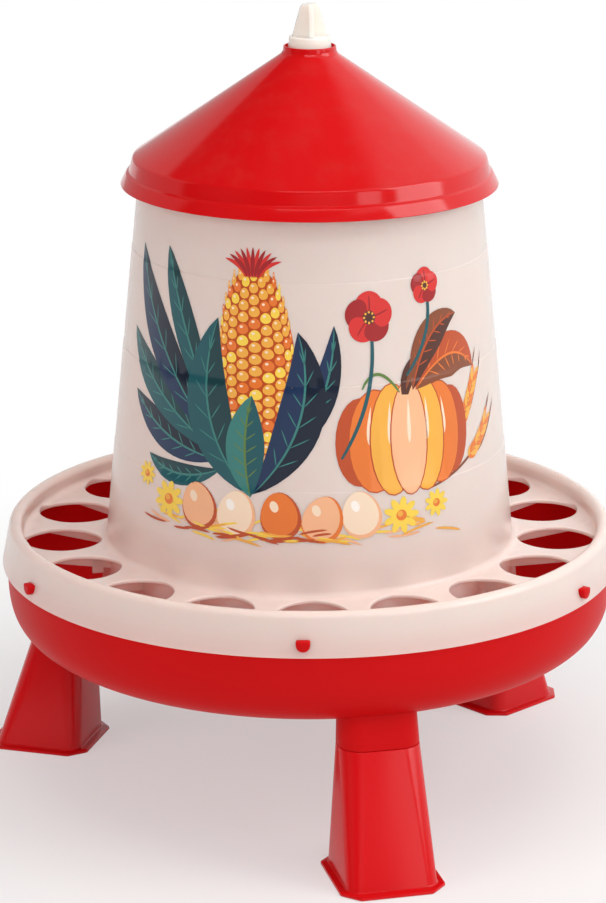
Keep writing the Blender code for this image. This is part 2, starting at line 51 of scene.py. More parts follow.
def colour(red, green, blue):  # a colour as a paint chart gives it, 0 to 255
    def straight(v):
        v = v / 255
        return v / 12.92 if v <= 0.04045 else ((v + 0.055) / 1.055) ** 2.4
    return (straight(red), straight(green), straight(blue), 1.0)


# Shader groups shared by the plastics

def newGroup(name, inputs, outputs):
    group = bpy.data.node_groups.new(name, "ShaderNodeTree")
    for label, kind, value in inputs:
        socket = group.interface.new_socket(name=label, in_out="INPUT", socket_type=kind)
        socket.default_value = value
    for label, kind in outputs:
        group.interface.new_socket(name=label, in_out="OUTPUT", socket_type=kind)
    return group, group.nodes.new("NodeGroupInput"), group.nodes.new("NodeGroupOutput")


def feed(tree, value, socket):  # links the socket, or sets its plain value
    if isinstance(value, bpy.types.NodeSocket):
        tree.links.new(value, socket)
    else:
        socket.default_value = value


def mathNode(tree, operation, first, second=None, clamp=False):
    node = tree.nodes.new("ShaderNodeMath")
    node.operation = operation
    node.use_clamp = clamp
    feed(tree, first, node.inputs[0])
    if second is not None:
        feed(tree, second, node.inputs[1])
    return node.outputs[0]


def noiseNode(tree, vector, scale, detail, roughness=0.5):
    node = tree.nodes.new("ShaderNodeTexNoise")
    for label, value in (("Vector", vector), ("Scale", scale), ("Detail", detail), ("Roughness", roughness)):
        feed(tree, value, node.inputs[label])
    return node.outputs["Fac"]


def mixNumber(tree, factor, first, second):
    node = tree.nodes.new("ShaderNodeMix")
    for place, value in ((0, factor), (2, first), (3, second)):
        feed(tree, value, node.inputs[place])
    return node.outputs[0]


def mixColour(tree, factor, first, second):
    node = tree.nodes.new("ShaderNodeMix")
    node.data_type = "RGBA"
    for place, value in ((0, factor), (6, first), (7, second)):
        feed(tree, value, node.inputs[place])
    return node.outputs[2]


def ramp(tree, value, low, high):  # 0 below low, 1 above high, eased in between
    node = tree.nodes.new("ShaderNodeMapRange")
    node.interpolation_type = "SMOOTHSTEP"
    tree.links.new(value, node.inputs["Value"])
    node.inputs["From Min"].default_value = low
    node.inputs["From Max"].default_value = high
    return node.outputs["Result"]


def fall(tree, value, low, high):  # 1 below low, 0 above high
    return mathNode(tree, "SUBTRACT", 1.0, ramp(tree, value, low, high))


def makeMouldedSkin():
    # Skin of moulded plastic: a fine spark-eroded grain over the slow waves that cooling leaves.
    group, given, out = newGroup(
        "mouldedSkin",
        [("Colour", "NodeSocketColor", (0.8, 0.8, 0.8, 1)), ("Colour Drift", "NodeSocketFloat", 0.1),
         ("Roughness", "NodeSocketFloat", 0.3), ("Roughness Drift", "NodeSocketFloat", 0.1),
         ("Grain Scale", "NodeSocketFloat", 900.0), ("Grain Depth", "NodeSocketFloat", 0.2),
         ("Wave Scale", "NodeSocketFloat", 20.0), ("Wave Depth", "NodeSocketFloat", 0.2)],
        [("Colour", "NodeSocketColor"), ("Roughness", "NodeSocketFloat"), ("Normal", "NodeSocketVector")])
    place = group.nodes.new("ShaderNodeTexCoord").outputs["Object"]
    slow = noiseNode(group, place, 14.0, 3.0)
    grain = noiseNode(group, place, given.outputs["Grain Scale"], 2.0)
    waves = noiseNode(group, place, given.outputs["Wave Scale"], 1.0, 0.3)
    away = mathNode(group, "SUBTRACT", slow, 0.5)
    lift = mathNode(group, "MULTIPLY", away, given.outputs["Colour Drift"])
    gain = mathNode(group, "ADD", 1.0, lift)
    scaled = group.nodes.new("ShaderNodeVectorMath")
    scaled.operation = "SCALE"
    group.links.new(given.outputs["Colour"], scaled.inputs[0])
    group.links.new(gain, scaled.inputs["Scale"])
    group.links.new(scaled.outputs[0], out.inputs["Colour"])
    matter = mathNode(group, "MULTIPLY", away, given.outputs["Roughness Drift"])
    group.links.new(mathNode(group, "ADD", given.outputs["Roughness"], matter, clamp=True),
                    out.inputs["Roughness"])
    waveBump = group.nodes.new("ShaderNodeBump")
    waveBump.inputs["Distance"].default_value = 0.002
    group.links.new(given.outputs["Wave Depth"], waveBump.inputs["Strength"])
    group.links.new(waves, waveBump.inputs["Height"])
    grainBump = group.nodes.new("ShaderNodeBump")
    grainBump.inputs["Distance"].default_value = 0.0001
    group.links.new(given.outputs["Grain Depth"], grainBump.inputs["Strength"])
    group.links.new(grain, grainBump.inputs["Height"])
    group.links.new(waveBump.outputs["Normal"], grainBump.inputs["Normal"])
    group.links.new(grainBump.outputs["Normal"], out.inputs["Normal"])
    return group


def makeDust():
    # Fine dust that settles on what faces up, with a few darker specks.
    group, given, out = newGroup(
        "settledDust",
        [("Colour", "NodeSocketColor", (0.8, 0.8, 0.8, 1)),
         ("Dust Colour", "NodeSocketColor", (0.6, 0.5, 0.4, 1)),
         ("Amount", "NodeSocketFloat", 0.1), ("Specks", "NodeSocketFloat", 0.3)],
        [("Colour", "NodeSocketColor"), ("Dust", "NodeSocketFloat")])
    place = group.nodes.new("ShaderNodeTexCoord").outputs["Object"]
    upward = group.nodes.new("ShaderNodeSeparateXYZ")
    group.links.new(group.nodes.new("ShaderNodeNewGeometry").outputs["Normal"], upward.inputs[0])
    cloud = ramp(group, noiseNode(group, place, 60.0, 5.0, 0.65), 0.42, 0.72)
    lying = mathNode(group, "MULTIPLY", ramp(group, upward.outputs["Z"], 0.3, 1.0), cloud)
    dust = mathNode(group, "MULTIPLY", lying, given.outputs["Amount"], clamp=True)
    cells = group.nodes.new("ShaderNodeTexVoronoi")
    cells.inputs["Scale"].default_value = 55.0
    group.links.new(place, cells.inputs["Vector"])
    speck = mathNode(group, "LESS_THAN", cells.outputs["Distance"], 0.035)
    rare = mathNode(group, "GREATER_THAN", noiseNode(group, place, 9.0, 0.0), 0.62)
    speckMask = mathNode(group, "MULTIPLY", mathNode(group, "MULTIPLY", speck, rare), given.outputs["Specks"])
    dusty = mixColour(group, dust, given.outputs["Colour"], given.outputs["Dust Colour"])
    marked = mixColour(group, speckMask, dusty, (0.08, 0.06, 0.05, 1))
    group.links.new(marked, out.inputs["Colour"])
    group.links.new(dust, out.inputs["Dust"])
    return group


mouldedSkin = makeMouldedSkin()
settledDust = makeDust()


def placeGroup(tree, group, values):
    node = tree.nodes.new("ShaderNodeGroup")
    node.node_tree = group
    for label, value in values.items():
        feed(tree, value, node.inputs[label])
    return node


def newMaterial(name):
    material = bpy.data.materials.new(name)
    material.use_nodes = True
    tree = material.node_tree
    return material, tree, tree.nodes["Principled BSDF"]


def dressPlastic(tree, shader, base, values):  # moulded skin, with dust where the values give it
    skin = placeGroup(tree, mouldedSkin, {
        "Colour": base, "Colour Drift": values["colourDrift"],
        "Roughness": values["roughness"], "Roughness Drift": values["roughnessDrift"],
        "Grain Scale": values["grainScale"], "Grain Depth": values["grainDepth"],
        "Wave Scale": values["waveScale"], "Wave Depth": values["waveDepth"]})
    surface = skin.outputs["Colour"]
    if "dust" in values:
        dust = placeGroup(tree, settledDust, {
            "Colour": surface, "Dust Colour": values["dustColour"],
            "Amount": values["dust"], "Specks": values["specks"]})
        surface = dust.outputs["Colour"]
    tree.links.new(surface, shader.inputs["Base Color"])
    tree.links.new(skin.outputs["Roughness"], shader.inputs["Roughness"])
    tree.links.new(skin.outputs["Normal"], shader.inputs["Normal"])
    shader.inputs["IOR"].default_value = values["ior"]


def makeRed(name, values):
    material, tree, shader = newMaterial(name)
    dressPlastic(tree, shader, values["colour"], values)
    shader.inputs["Specular IOR Level"].default_value = values["gloss"]
    return material


def makeInk(name, ink, values):
    material, tree, shader = newMaterial(name)
    dressPlastic(tree, shader, ink, values)
    return material


def makeMilky(name, values):
    # White plastic. Up to about 225 mm high, and inside the rim's outer band, its colour is painted lighter
    # and warmer: a painted glow for light let through the plastic and bounced off the red pan, which also
    # lifts the shade at the hopper's foot, on the grille and on the rim's inner wall. Below about 178 mm a
    # painted pink stands for the red pan's light showing through. Part of the lamps' light comes through it.
    material, tree, shader = newMaterial(name)
    place = tree.nodes.new("ShaderNodeTexCoord").outputs["Object"]
    parts = tree.nodes.new("ShaderNodeSeparateXYZ")
    tree.links.new(place, parts.inputs[0])
    height = parts.outputs["Z"]
    squares = []
    for label, middle in (("X", axis.x), ("Y", axis.y)):
        across = mathNode(tree, "SUBTRACT", parts.outputs[label], middle)
        squares.append(mathNode(tree, "MULTIPLY", across, across))
    reach = mathNode(tree, "SQRT", mathNode(tree, "ADD", *squares))
    # mask of the painted glow: low down and inside the rim's band, where light is painted into the colour
    low = fall(tree, height, values["paintedGlowFrom"], values["paintedGlowTo"])
    inside = fall(tree, reach, values["rimFrom"], values["rimTo"])
    glow = mathNode(tree, "MULTIPLY", mathNode(tree, "MULTIPLY", low, inside), values["glow"])
    # painted pink for the red pan's light showing through, strongest below the rim's lower edge and fading
    # out by 178 mm
    paintedRedLight = mathNode(tree, "MULTIPLY", fall(tree, height, values["paintedRedLightFrom"], values["paintedRedLightTo"]), values["paintedRedLight"])
    cloud = mathNode(tree, "MULTIPLY", noiseNode(tree, place, values["cloudScale"], 2.0), values["cloud"])
    cloud = mathNode(tree, "ADD", 1.0 - values["cloud"] / 2, cloud)
    glow = mathNode(tree, "MULTIPLY", glow, cloud, clamp=True)
    base = mixColour(tree, glow, values["colour"], values["paintedGlowColour"])
    base = mixColour(tree, paintedRedLight, base, values["paintedRedLightColour"])
    dressPlastic(tree, shader, base, values)
    shader.inputs["Subsurface Weight"].default_value = values["depthLight"]
    shader.inputs["Subsurface Radius"].default_value = values["depthRadius"]
    shader.inputs["Subsurface Scale"].default_value = values["depthScale"]
    clear = tree.nodes.new("ShaderNodeBsdfTransparent")
    clear.inputs["Color"].default_value = values["throughColour"]
    path = tree.nodes.new("ShaderNodeLightPath")
    mix = tree.nodes.new("ShaderNodeMixShader")
    through = mathNode(tree, "MULTIPLY", path.outputs["Is Shadow Ray"], values["through"])
    for value, socket in zip((through, shader.outputs[0], clear.outputs[0]), mix.inputs):
        tree.links.new(value, socket)
    tree.links.new(mix.outputs[0], tree.nodes["Material Output"].inputs["Surface"])
    return material


# Mesh helpers

def corner(before, here, after, radius, steps):  # rounds one corner of a section
    here = Vector(here)
    toBefore = Vector(before) - here
    toAfter = Vector(after) - here
    reach = min(radius, toBefore.length * 0.48, toAfter.length * 0.48)
    start = here + toBefore.normalized() * reach
    end = here + toAfter.normalized() * reach
    points = []
    for i in range(steps + 1):
        t = i / steps
        points.append(start * (1 - t) ** 2 + here * 2 * t * (1 - t) + end * t * t)
    return [(p.x, p.y) for p in points]


def softSection(points, steps=4, closed=True):  # points are (radius, height, rounding)
    made = []
    count = len(points)
    for i, (radius, height, rounding) in enumerate(points):
        atEnd = not closed and i in (0, count - 1)
        if rounding and not atEnd:
            before = points[i - 1][:2]
            after = points[(i + 1) % count][:2]
            made += corner(before, (radius, height), after, rounding, steps)
        else:
            made.append((radius, height))
    return made


def around(point, angle):  # (outward, sideways, up) in mm to a place in the frame
    outward, sideways, up = point
    c, s = math.cos(angle), math.sin(angle)
    return axis + Vector((outward * c - sideways * s, outward * s + sideways * c, up)) / 1000


def sweep(bm, section, angles, closedSection=True):
    rings = [[bm.verts.new(around((r, 0, z), angle)) for r, z in section] for angle in angles]
    last = len(section) if closedSection else len(section) - 1
    for ring, following in zip(rings, rings[1:] + rings[:1]):
        for i in range(last):
            j = (i + 1) % len(section)
            bm.faces.new((ring[i], following[i], following[j], ring[j]))


def evenAngles(count):
    return [2 * math.pi * i / count for i in range(count)]


def loft(bm, rings, angle, capped=True):  # rings of points, all with the same count
    loops = [[bm.verts.new(around(p, angle)) for p in ring] for ring in rings]
    for low, high in zip(loops, loops[1:]):
        for i in range(len(low)):
            j = (i + 1) % len(low)
            bm.faces.new((low[i], low[j], high[j], high[i]))
    if capped:
        bm.faces.new(list(reversed(loops[0])))
        bm.faces.new(loops[-1])
    return loops


def placeMesh(name, bm, materials):
    mesh = bpy.data.meshes.new(name)
    bm.to_mesh(mesh)
    bm.free()
    for material in materials:
        mesh.materials.append(material)
    piece = bpy.data.objects.new(name, mesh)
    bpy.context.scene.collection.objects.link(piece)
    return piece


crease = math.radians(38)  # edges sharper than this stay crisp


def finishPiece(name, bm, material, replaced=()):
    bmesh.ops.remove_doubles(bm, verts=bm.verts, dist=1e-6)
    bmesh.ops.recalc_face_normals(bm, faces=bm.faces)
    piece = placeMesh(name, bm, [material])
    piece.data.shade_smooth()
    piece.data.set_sharp_from_angle(angle=crease)
    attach(piece, "root")
    if replaced:
        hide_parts(*replaced)
    return piece


# Heights and radii that several pieces share

shared = {
    "rimEdge": 156.3, "rimRadius": 210.0, "rimLean": 0.195, "crestTop": 184.6, "crestRadius": 4.7,
    "grilleTop": 171.4, "grilleUnder": 168.9, "hopperTop": 431.2, "skirtBottom": 134.0,
    "hopperBase": 139.3, "hopperSlope": 0.0974, "stepProud": 0.3, "stepHalf": 0.3,
    "stepHeights": (374.4, 308.4, 240.4, 173.9), "seam": 87.0, "panBottom": 99.3,
    "legAngles": (-76, 44, 164), "collarTop": 507.0,
}


def hopperRadius(height):
    passed = sum(1 for step in shared["stepHeights"] if height > step)
    drawnIn = shared["hopperSlope"] * (height - shared["grilleTop"])
    return shared["hopperBase"] - drawnIn - shared["stepProud"] * passed


def rimRadius(height):
    return shared["rimRadius"] - shared["rimLean"] * (height - shared["rimEdge"])


# Hopper, grille and rim: one white moulding

hopperLook = {
    "material": {
        # The glow colour and its ranges paint light into the plastic: a painted glow low down and inside the
        # rim.
        "colour": colour(231, 214, 206), "paintedGlowColour": colour(252, 226, 217), "glow": 0.60,
        "paintedGlowFrom": 0.170, "paintedGlowTo": 0.225, "rimFrom": 0.2025, "rimTo": 0.2060,
        # The hem colour and its range paint the red pan's light, seen through the plastic, as a pink low
        # down.
        "paintedRedLight": 0.55, "paintedRedLightFrom": 0.1563, "paintedRedLightTo": 0.178, "paintedRedLightColour": colour(222, 186, 180),
        "cloud": 0.8, "cloudScale": 7.0,
        "colourDrift": 0.05, "roughness": 0.24, "roughnessDrift": 0.08,
        "grainScale": 1500.0, "grainDepth": 0.10, "waveScale": 16.0, "waveDepth": 0.05,
        "dustColour": colour(196, 178, 165), "dust": 0.10, "specks": 0.0, "ior": 1.49,
        "depthLight": 0.6, "depthRadius": (1.0, 0.70, 0.62), "depthScale": 0.006,
        "through": 0.8, "throughColour": (1.0, 0.88, 0.84, 1.0),
    },
    "holes": 17, "firstHole": -89.4, "holeMiddle": 168.7, "holeLength": 52.4, "holeWidth": 48.0,
    "holeCurve": 1.85, "lip": 0.9, "facetsPerHole": 16, "webSteps": 12,
    "wall": 2.5, "rimWall": 3.0, "baseFillet": 5.0, "rimFillet": 4.5, "wallBlend": 1.6, "rimBlend": 0.5,
    "bead": 1.7, "beadDepth": 4.0, "beadRun": 5.7, "underEase": 0.35, "gussetBite": 1.2,
    "gussetThickness": 2.6, "gussetEnd": 182.0, "gussetEndDrop": 5.2, "gussetRootDrop": 12.7,
    "tabGussets": (2, 8, 13), "tabFrom": 145.0, "tabTo": 152.8, "tabDrop": 15.5,
}


def wallFoot():  # where the fillet at the foot of the hopper's wall begins
    return hopperRadius(shared["grilleTop"] + hopperLook["baseFillet"])


def grilleTopAt(radius):  # the plate rises into a fillet at the hopper and at the rim
    look = hopperLook
    top = shared["grilleTop"]
    inner = wallFoot() + look["baseFillet"]
    outer = rimInside() - look["rimFillet"]
    if radius < inner:
        f = look["baseFillet"]
        return top + f - math.sqrt(max(0.0, f * f - (inner - radius) ** 2))
    if radius > outer:
        f = look["rimFillet"]
        return top + f - math.sqrt(max(0.0, f * f - (radius - outer) ** 2))
    return top


def crestMiddle():
    height = shared["crestTop"] - shared["crestRadius"]
    return rimRadius(height) - shared["crestRadius"], height


def rimInside():
    return crestMiddle()[0] - shared["crestRadius"]


def sectorOffsets():  # closer together at the middle of each hole, where its ends are tight
    half = hopperLook["facetsPerHole"] // 2
    web = math.pi / hopperLook["holes"]
    return [math.copysign(abs(i / half) ** 1.45, i) * web for i in range(-half, half + 1)]


def sectorRing(middleAngle, innerRadius, outerRadius, steps):
    # Outline of one hole's share of the ring, as (radius, angle), anticlockwise from the inner arc.
    offsets = sectorOffsets()
    web = offsets[-1]
    outline = [(innerRadius, a) for a in offsets[:-1]]
    outline += [(innerRadius + (outerRadius - innerRadius) * i / steps, web) for i in range(steps)]
    outline += [(outerRadius, a) for a in reversed(offsets[1:])]
    outline += [(outerRadius + (innerRadius - outerRadius) * i / steps, -web) for i in range(steps)]
    return [(r, middleAngle, a) for r, a in outline]


def holeEdge(x, y, grow):  # point on the hole's oval that lies towards (x, y)
    look = hopperLook
    angle = math.atan2(y, x - look["holeMiddle"])
    a = look["holeLength"] / 2 + grow
    b = look["holeWidth"] / 2 + grow
    n = look["holeCurve"]
    reach = (abs(math.cos(angle) / a) ** n + abs(math.sin(angle) / b) ** n) ** (-1 / n)
    return look["holeMiddle"] + reach * math.cos(angle), reach * math.sin(angle)


def grilleSector(bm, middleAngle):
    look = hopperLook
    low = shared["grilleUnder"]
    top = sectorRing(middleAngle, wallFoot() + look["wallBlend"], rimInside() - look["rimBlend"],
                     look["webSteps"])
    under = sectorRing(middleAngle, hopperRadius(low), rimInside() + look["wall"], look["webSteps"])
    flat, topFlat = ([(r * math.cos(a), r * math.sin(a)) for r, _, a in ring] for ring in (under, top))
    edge = [holeEdge(x, y, 0.0) for x, y in topFlat]
    grow = look["underEase"]
    wide = [holeEdge(x, y, grow) for x, y in topFlat]
    rings = [[(x, y, low) for x, y in flat],
             [(x + (ex - x) * 0.5, y + (ey - y) * 0.5, low) for (x, y), (ex, ey) in zip(flat, edge)],
             [(x, y, low) for x, y in wide], [(x, y, low + grow) for x, y in edge]]
    steps = 4
    for i in range(steps + 1):  # the hole's rounded lip
        t = i / steps * math.pi / 2
        ring = []
        for (x, y), (ex, ey) in zip(topFlat, edge):
            gap = math.hypot(x - ex, y - ey)
            lip = min(look["lip"], gap * 0.6)
            px = ex + (x - ex) / gap * lip * (1 - math.cos(t))
            py = ey + (y - ey) / gap * lip * (1 - math.cos(t))
            ring.append((px, py, grilleTopAt(math.hypot(px, py)) - lip * (1 - math.sin(t))))
        rings.append(ring)
    inner = rings[-1]
    for t in (0.25, 0.5, 0.75, 1.0):
        ring = []
        for (x, y), (px, py, _) in zip(topFlat, inner):
            qx, qy = px + (x - px) * t, py + (y - py) * t
            ring.append((qx, qy, grilleTopAt(math.hypot(qx, qy))))
        rings.append(ring)
    loft(bm, rings, middleAngle, capped=False)


def hopperSections():
    look = hopperLook
    top, foot = shared["hopperTop"], shared["skirtBottom"]
    under, base = shared["grilleUnder"], shared["grilleTop"]
    wall = look["wall"]
    beadRadius = hopperRadius(top) + look["bead"]
    beadFoot = top - look["beadRun"]
    outside = [(hopperRadius(under), under, 0), (hopperRadius(foot), foot, 0.8),
               (hopperRadius(foot) - wall, foot, 0.8), (hopperRadius(top) - wall, top, 0.8),
               (beadRadius, top, 0.9), (beadRadius, top - look["beadDepth"], 0.7),
               (hopperRadius(beadFoot), beadFoot, 0.6)]
    for step in shared["stepHeights"][:-1]:
        for side in (shared["stepHalf"], -shared["stepHalf"]):
            outside.append((hopperRadius(step + side), step + side, 0.2))
    last = base + look["baseFillet"] + 3
    outside.append((hopperRadius(last), last, 0))
    section = softSection(outside, 3, closed=False)
    for i in range(6):
        radius = wallFoot() + look["wallBlend"] * (i / 5) ** 2
        section.append((radius, grilleTopAt(radius)))
    middle, middleZ = crestMiddle()
    inside = rimInside()
    rim = []
    for i in range(6):
        radius = inside - look["rimBlend"] * (1 - i / 5) ** 2
        rim.append((radius, grilleTopAt(radius)))
    for i in range(13):
        angle = math.pi * (1 - i / 12)
        rim.append((middle + shared["crestRadius"] * math.cos(angle),
                    middleZ + shared["crestRadius"] * math.sin(angle)))
    edge, edgeRadius, rimWall = shared["rimEdge"], shared["rimRadius"], look["rimWall"]
    ceiling = middleZ + rimWall / 4
    band = [(rimRadius(middleZ - 6), middleZ - 6, 0), (edgeRadius, edge, 0.8),
            (edgeRadius - rimWall, edge, 0.8), (rimRadius(ceiling) - rimWall, ceiling, 0.6),
            (inside + wall, ceiling, 0.6), (inside + wall, under, 0)]
    return section, rim + softSection(band, 4, closed=False)


def makeHopper():
    look = hopperLook
    milky = makeMilky("milkyPlastic", look["material"])
    pitch = 2 * math.pi / look["holes"]
    middles = [math.radians(look["firstHole"]) + i * pitch for i in range(look["holes"])]
    angles = [middle + offset for middle in middles for offset in sectorOffsets()[:-1]]
    bm = bmesh.new()
    wallSection, rimSection = hopperSections()
    sweep(bm, wallSection, angles, closedSection=False)
    sweep(bm, rimSection, angles, closedSection=False)
    for middle in middles:
        grilleSector(bm, middle)
    hopper = finishPiece("hopperShell", bm, milky, ["hopper"])
    gussets = bmesh.new()
    rootLow = shared["grilleTop"] - look["gussetRootDrop"]
    root = hopperRadius(rootLow) - look["gussetBite"]
    roof = shared["grilleTop"] - look["gussetBite"]
    tabLow = shared["grilleTop"] - look["tabDrop"]
    plate = [(root, roof, 0), (look["gussetEnd"], roof, 0),
             (look["gussetEnd"], shared["grilleTop"] - look["gussetEndDrop"], 0.6), (root, rootLow, 0)]
    tab = [(look["tabFrom"], roof, 0), (look["tabTo"], roof, 0), (look["tabTo"], tabLow, 0.8),
           (look["tabFrom"], tabLow, 0.8)]
    for i, middle in enumerate(middles):
        angle = middle + pitch / 2
        uprightPlate(gussets, softSection(plate), look["gussetThickness"], angle)
        if i in look["tabGussets"]:
            uprightPlate(gussets, softSection(tab), look["gussetThickness"] * 0.7, angle)
    finishPiece("webGussets", gussets, milky)
    print("hopper made:", len(hopper.data.polygons), "faces")


def uprightPlate(bm, outline, thickness, angle):  # a radial plate with slightly eased edges
    ease = 0.35
    inner = 1 - 2 * ease / thickness
    middle = Vector([sum(p[k] for p in outline) / len(outline) for k in (0, 1)])
    rings = []
    for side, inset in ((-1, ease), (-inner, 0), (inner, 0), (1, ease)):
        ring = []
        for x, z in outline:
            away = Vector((x, z)) - middle
            point = Vector((x, z)) - away.normalized() * inset
            ring.append((point.x, side * thickness / 2, point.y))
        rings.append(ring)
    loft(bm, rings, angle)


# Pan with its feed cone, snap lugs and leg stubs

panLook = {
    "material": {
        "colour": colour(203, 17, 20), "colourDrift": 0.10, "roughness": 0.42, "roughnessDrift": 0.12,
        "grainScale": 1300.0, "grainDepth": 0.35, "waveScale": 18.0, "waveDepth": 0.05,
        "dustColour": colour(150, 60, 50), "dust": 0.15, "specks": 0.3, "ior": 1.49,
        "gloss": 0.07,
    },
    "flatRadius": 117.0, "curve": 3.6, "curveSteps": 26, "wall": 2.5, "inset": 3.4,
    "coneFoot": 92.0, "coneHeight": 50.0, "socketRadius": 9.44, "socketWall": 4.0, "socketDepth": 12.0,
    "lugs": 6, "firstLug": -91.2, "lugWidth": 9.1, "lugHeight": 7.0, "lugRise": 4.8, "lugProud": 3.3,
    "facets": 216, "lipTop": 180.3, "socketUnder": 4.0,
}


def panCurve(edgeRadius, depth, steps):
    look = panLook
    points = []
    for i in range(steps + 1):
        t = i / steps * math.pi / 2
        c, s = math.cos(t), math.sin(t)
        radius = look["flatRadius"] + (edgeRadius - look["flatRadius"]) * max(c, 0.0) ** (2 / look["curve"])
        points.append((radius, shared["rimEdge"] - depth * s ** (2 / look["curve"])))
    return points


def panUnderside(radius):  # height of the pan's outer face at a radius
    look = panLook
    edge = shared["rimRadius"] - look["inset"]
    depth = shared["rimEdge"] - shared["panBottom"]
    share = max(0.0, min(1.0, (radius - look["flatRadius"]) / (edge - look["flatRadius"])))
    return shared["rimEdge"] - depth * (1 - share ** look["curve"]) ** (1 / look["curve"])


def makePan():
    look = panLook
    red = makeRed("satinRed", look["material"])
    bm = bmesh.new()
    edge = shared["rimRadius"] - look["inset"]
    wall = look["wall"]
    flat, socket = look["flatRadius"], look["socketRadius"]
    seam, bottom, lipTop = shared["rimEdge"], shared["panBottom"], look["lipTop"]
    lipRadius = rimRadius(lipTop) - look["inset"]
    depth = seam - bottom
    floor = bottom + wall
    coneTop = floor + look["coneHeight"]
    collar = socket + look["socketWall"]
    slope = look["coneHeight"] / (look["coneFoot"] - collar)
    footUnder = look["coneFoot"] - wall
    roofUnder = bottom + slope * (footUnder - collar)
    socketFloor = coneTop - look["socketDepth"]
    socketUnder = socketFloor - look["socketUnder"]
    outside = panCurve(edge, depth, look["curveSteps"])
    inside = panCurve(edge - wall, depth - wall, look["curveSteps"])
    lip = softSection([(edge - wall, seam, 0), (lipRadius - wall, lipTop, 0.8), (lipRadius, lipTop, 0.8),
                       (edge, seam, 0)], 3, closed=False)
    middle = softSection([(flat, floor, 0), (look["coneFoot"], floor, 6), (collar, coneTop, 1.2),
                          (socket, coneTop, 0.8), (socket, socketFloor, 0), (0.01, socketFloor, 0)],
                         5, closed=False)
    below = softSection([(0.01, socketUnder, 0), (collar, socketUnder, 0.5), (collar, roofUnder, 0),
                         (footUnder, bottom, 6), (flat, bottom, 0)], 5, closed=False)
    section = middle[::-1] + inside[::-1][1:-1] + lip + outside[1:-1] + below[::-1]
    sweep(bm, section, evenAngles(look["facets"]))
    for degrees in shared["legAngles"]:
        addStub(bm, math.radians(degrees))
    for i in range(look["lugs"]):
        addLug(bm, math.radians(look["firstLug"] + 360 / look["lugs"] * i))
    pan = finishPiece("feedPanShell", bm, red, ["feed_pan"])
    print("pan made:", len(pan.data.polygons), "faces")


def addLug(bm, angle):
    look = panLook
    low = shared["rimEdge"] + look["lugRise"]
    high = low + look["lugHeight"]
    half = look["lugWidth"] / 2
    root = rimRadius(high) - look["inset"] - look["wall"] / 2
    tip = rimRadius(low) + look["lugProud"]
    ease = 0.8
    rings = []
    for distance, inset in ((root, 0), (tip - ease, 0), (tip - ease * 0.3, ease * 0.3), (tip, ease)):
        outline = [(half - 1.0 - inset * 0.4, high - inset), (-half + 1.0 + inset * 0.4, high - inset),
                   (-half + 0.3 + inset, high - 0.3 - inset), (-half + inset, high - 1.0 - inset * 0.4)]
        for i in range(9):
            t = math.pi + math.pi * i / 8
            outline.append(((half - inset) * math.cos(t), low + half + (half - inset) * math.sin(t)))
        outline += [(half - inset, high - 1.0 - inset * 0.4), (half - 0.3 - inset, high - 0.3 - inset)]
        rings.append([(distance, x, z) for x, z in outline])
    loft(bm, rings, angle)


# Legs

legLook = {
    "material": {
        "colour": colour(212, 16, 22), "colourDrift": 0.05, "roughness": 0.20, "roughnessDrift": 0.06,
        "grainScale": 1800.0, "grainDepth": 0.06, "waveScale": 22.0, "waveDepth": 0.07,
        "dustColour": colour(150, 60, 50), "dust": 0.12, "specks": 0.2, "ior": 1.5,
        "gloss": 0.26,
    },
    "inner": 162.0, "topDepth": 35.0, "topWidth": 53.5, "footDepth": 63.0, "footWidth": 60.5,
    "topCorner": 15.0, "footCorner": 9.5, "cornerShare": 0.45, "wall": 2.4, "spigot": 9.0,
    "flange": 2.2, "endOverhang": 5.5, "sideOverhang": 4.5, "flangeCut": 11.0, "flangeEase": 1.2,
    "fillet": 1.0,
}


def roundedBox(inner, outer, width, radius, height, steps=7):
    points = []
    half = width / 2 - radius
    far, near = outer - radius, inner + radius
    middles = ((far, half), (near, half), (near, -half), (far, -half))
    for k, (mx, my) in enumerate(middles):
        for i in range(steps + 1):
            a = (k + i / steps) * math.pi / 2
            points.append((mx + radius * math.cos(a), my + radius * math.sin(a), height))
    return points


def legRing(height, inset):
    look = legLook
    rise = height / shared["seam"]
    depth = look["footDepth"] + (look["topDepth"] - look["footDepth"]) * rise
    width = look["footWidth"] + (look["topWidth"] - look["footWidth"]) * rise
    radius = look["footCorner"] + (look["topCorner"] - look["footCorner"]) * rise
    radius = min(radius, look["cornerShare"] * depth)
    return roundedBox(look["inner"] + inset, look["inner"] + depth - inset, width - 2 * inset,
                      radius - inset, height)


def flangeRing(height, inset):  # the flange's corners are cut off straight, with eased ends
    look = legLook
    inner = look["inner"] - look["endOverhang"] + inset
    outer = look["inner"] + look["footDepth"] + look["endOverhang"] - inset
    half = look["footWidth"] / 2 + look["sideOverhang"] - inset
    cut = look["flangeCut"] - inset * 0.6
    sharp = [(outer, half - cut), (outer - cut, half), (inner + cut, half), (inner, half - cut),
             (inner, cut - half), (inner + cut, -half), (outer - cut, -half), (outer, cut - half)]
    points = []
    for i, here in enumerate(sharp):
        points += corner(sharp[i - 1], here, sharp[(i + 1) % 8], look["flangeEase"], 3)
    return [(x, y, height) for x, y in points]


def stubPoint(index, inset):  # where one line of the stub's taper meets the pan
    height = shared["seam"]
    for _ in range(6):
        x, y, _ = legRing(height, inset)[index]
        height = panUnderside(math.hypot(x, y)) + 1.2
    return x, y, height


def addStub(bm, angle):
    low = shared["seam"] + 0.3
    wall = legLook["wall"]
    count = len(legRing(low, 0))
    rings = [legRing(low + rise, inset) for rise, inset in ((0.0, 0.5), (0.15, 0.15), (0.5, 0.0))]
    rings.append([stubPoint(i, 0) for i in range(count)])
    rings.append([stubPoint(i, wall) for i in range(count)])
    rings.append(legRing(low, wall))
    loops = loft(bm, rings, angle, capped=False)
    for i in range(count):
        j = (i + 1) % count
        bm.faces.new((loops[-1][i], loops[-1][j], loops[0][j], loops[0][i]))


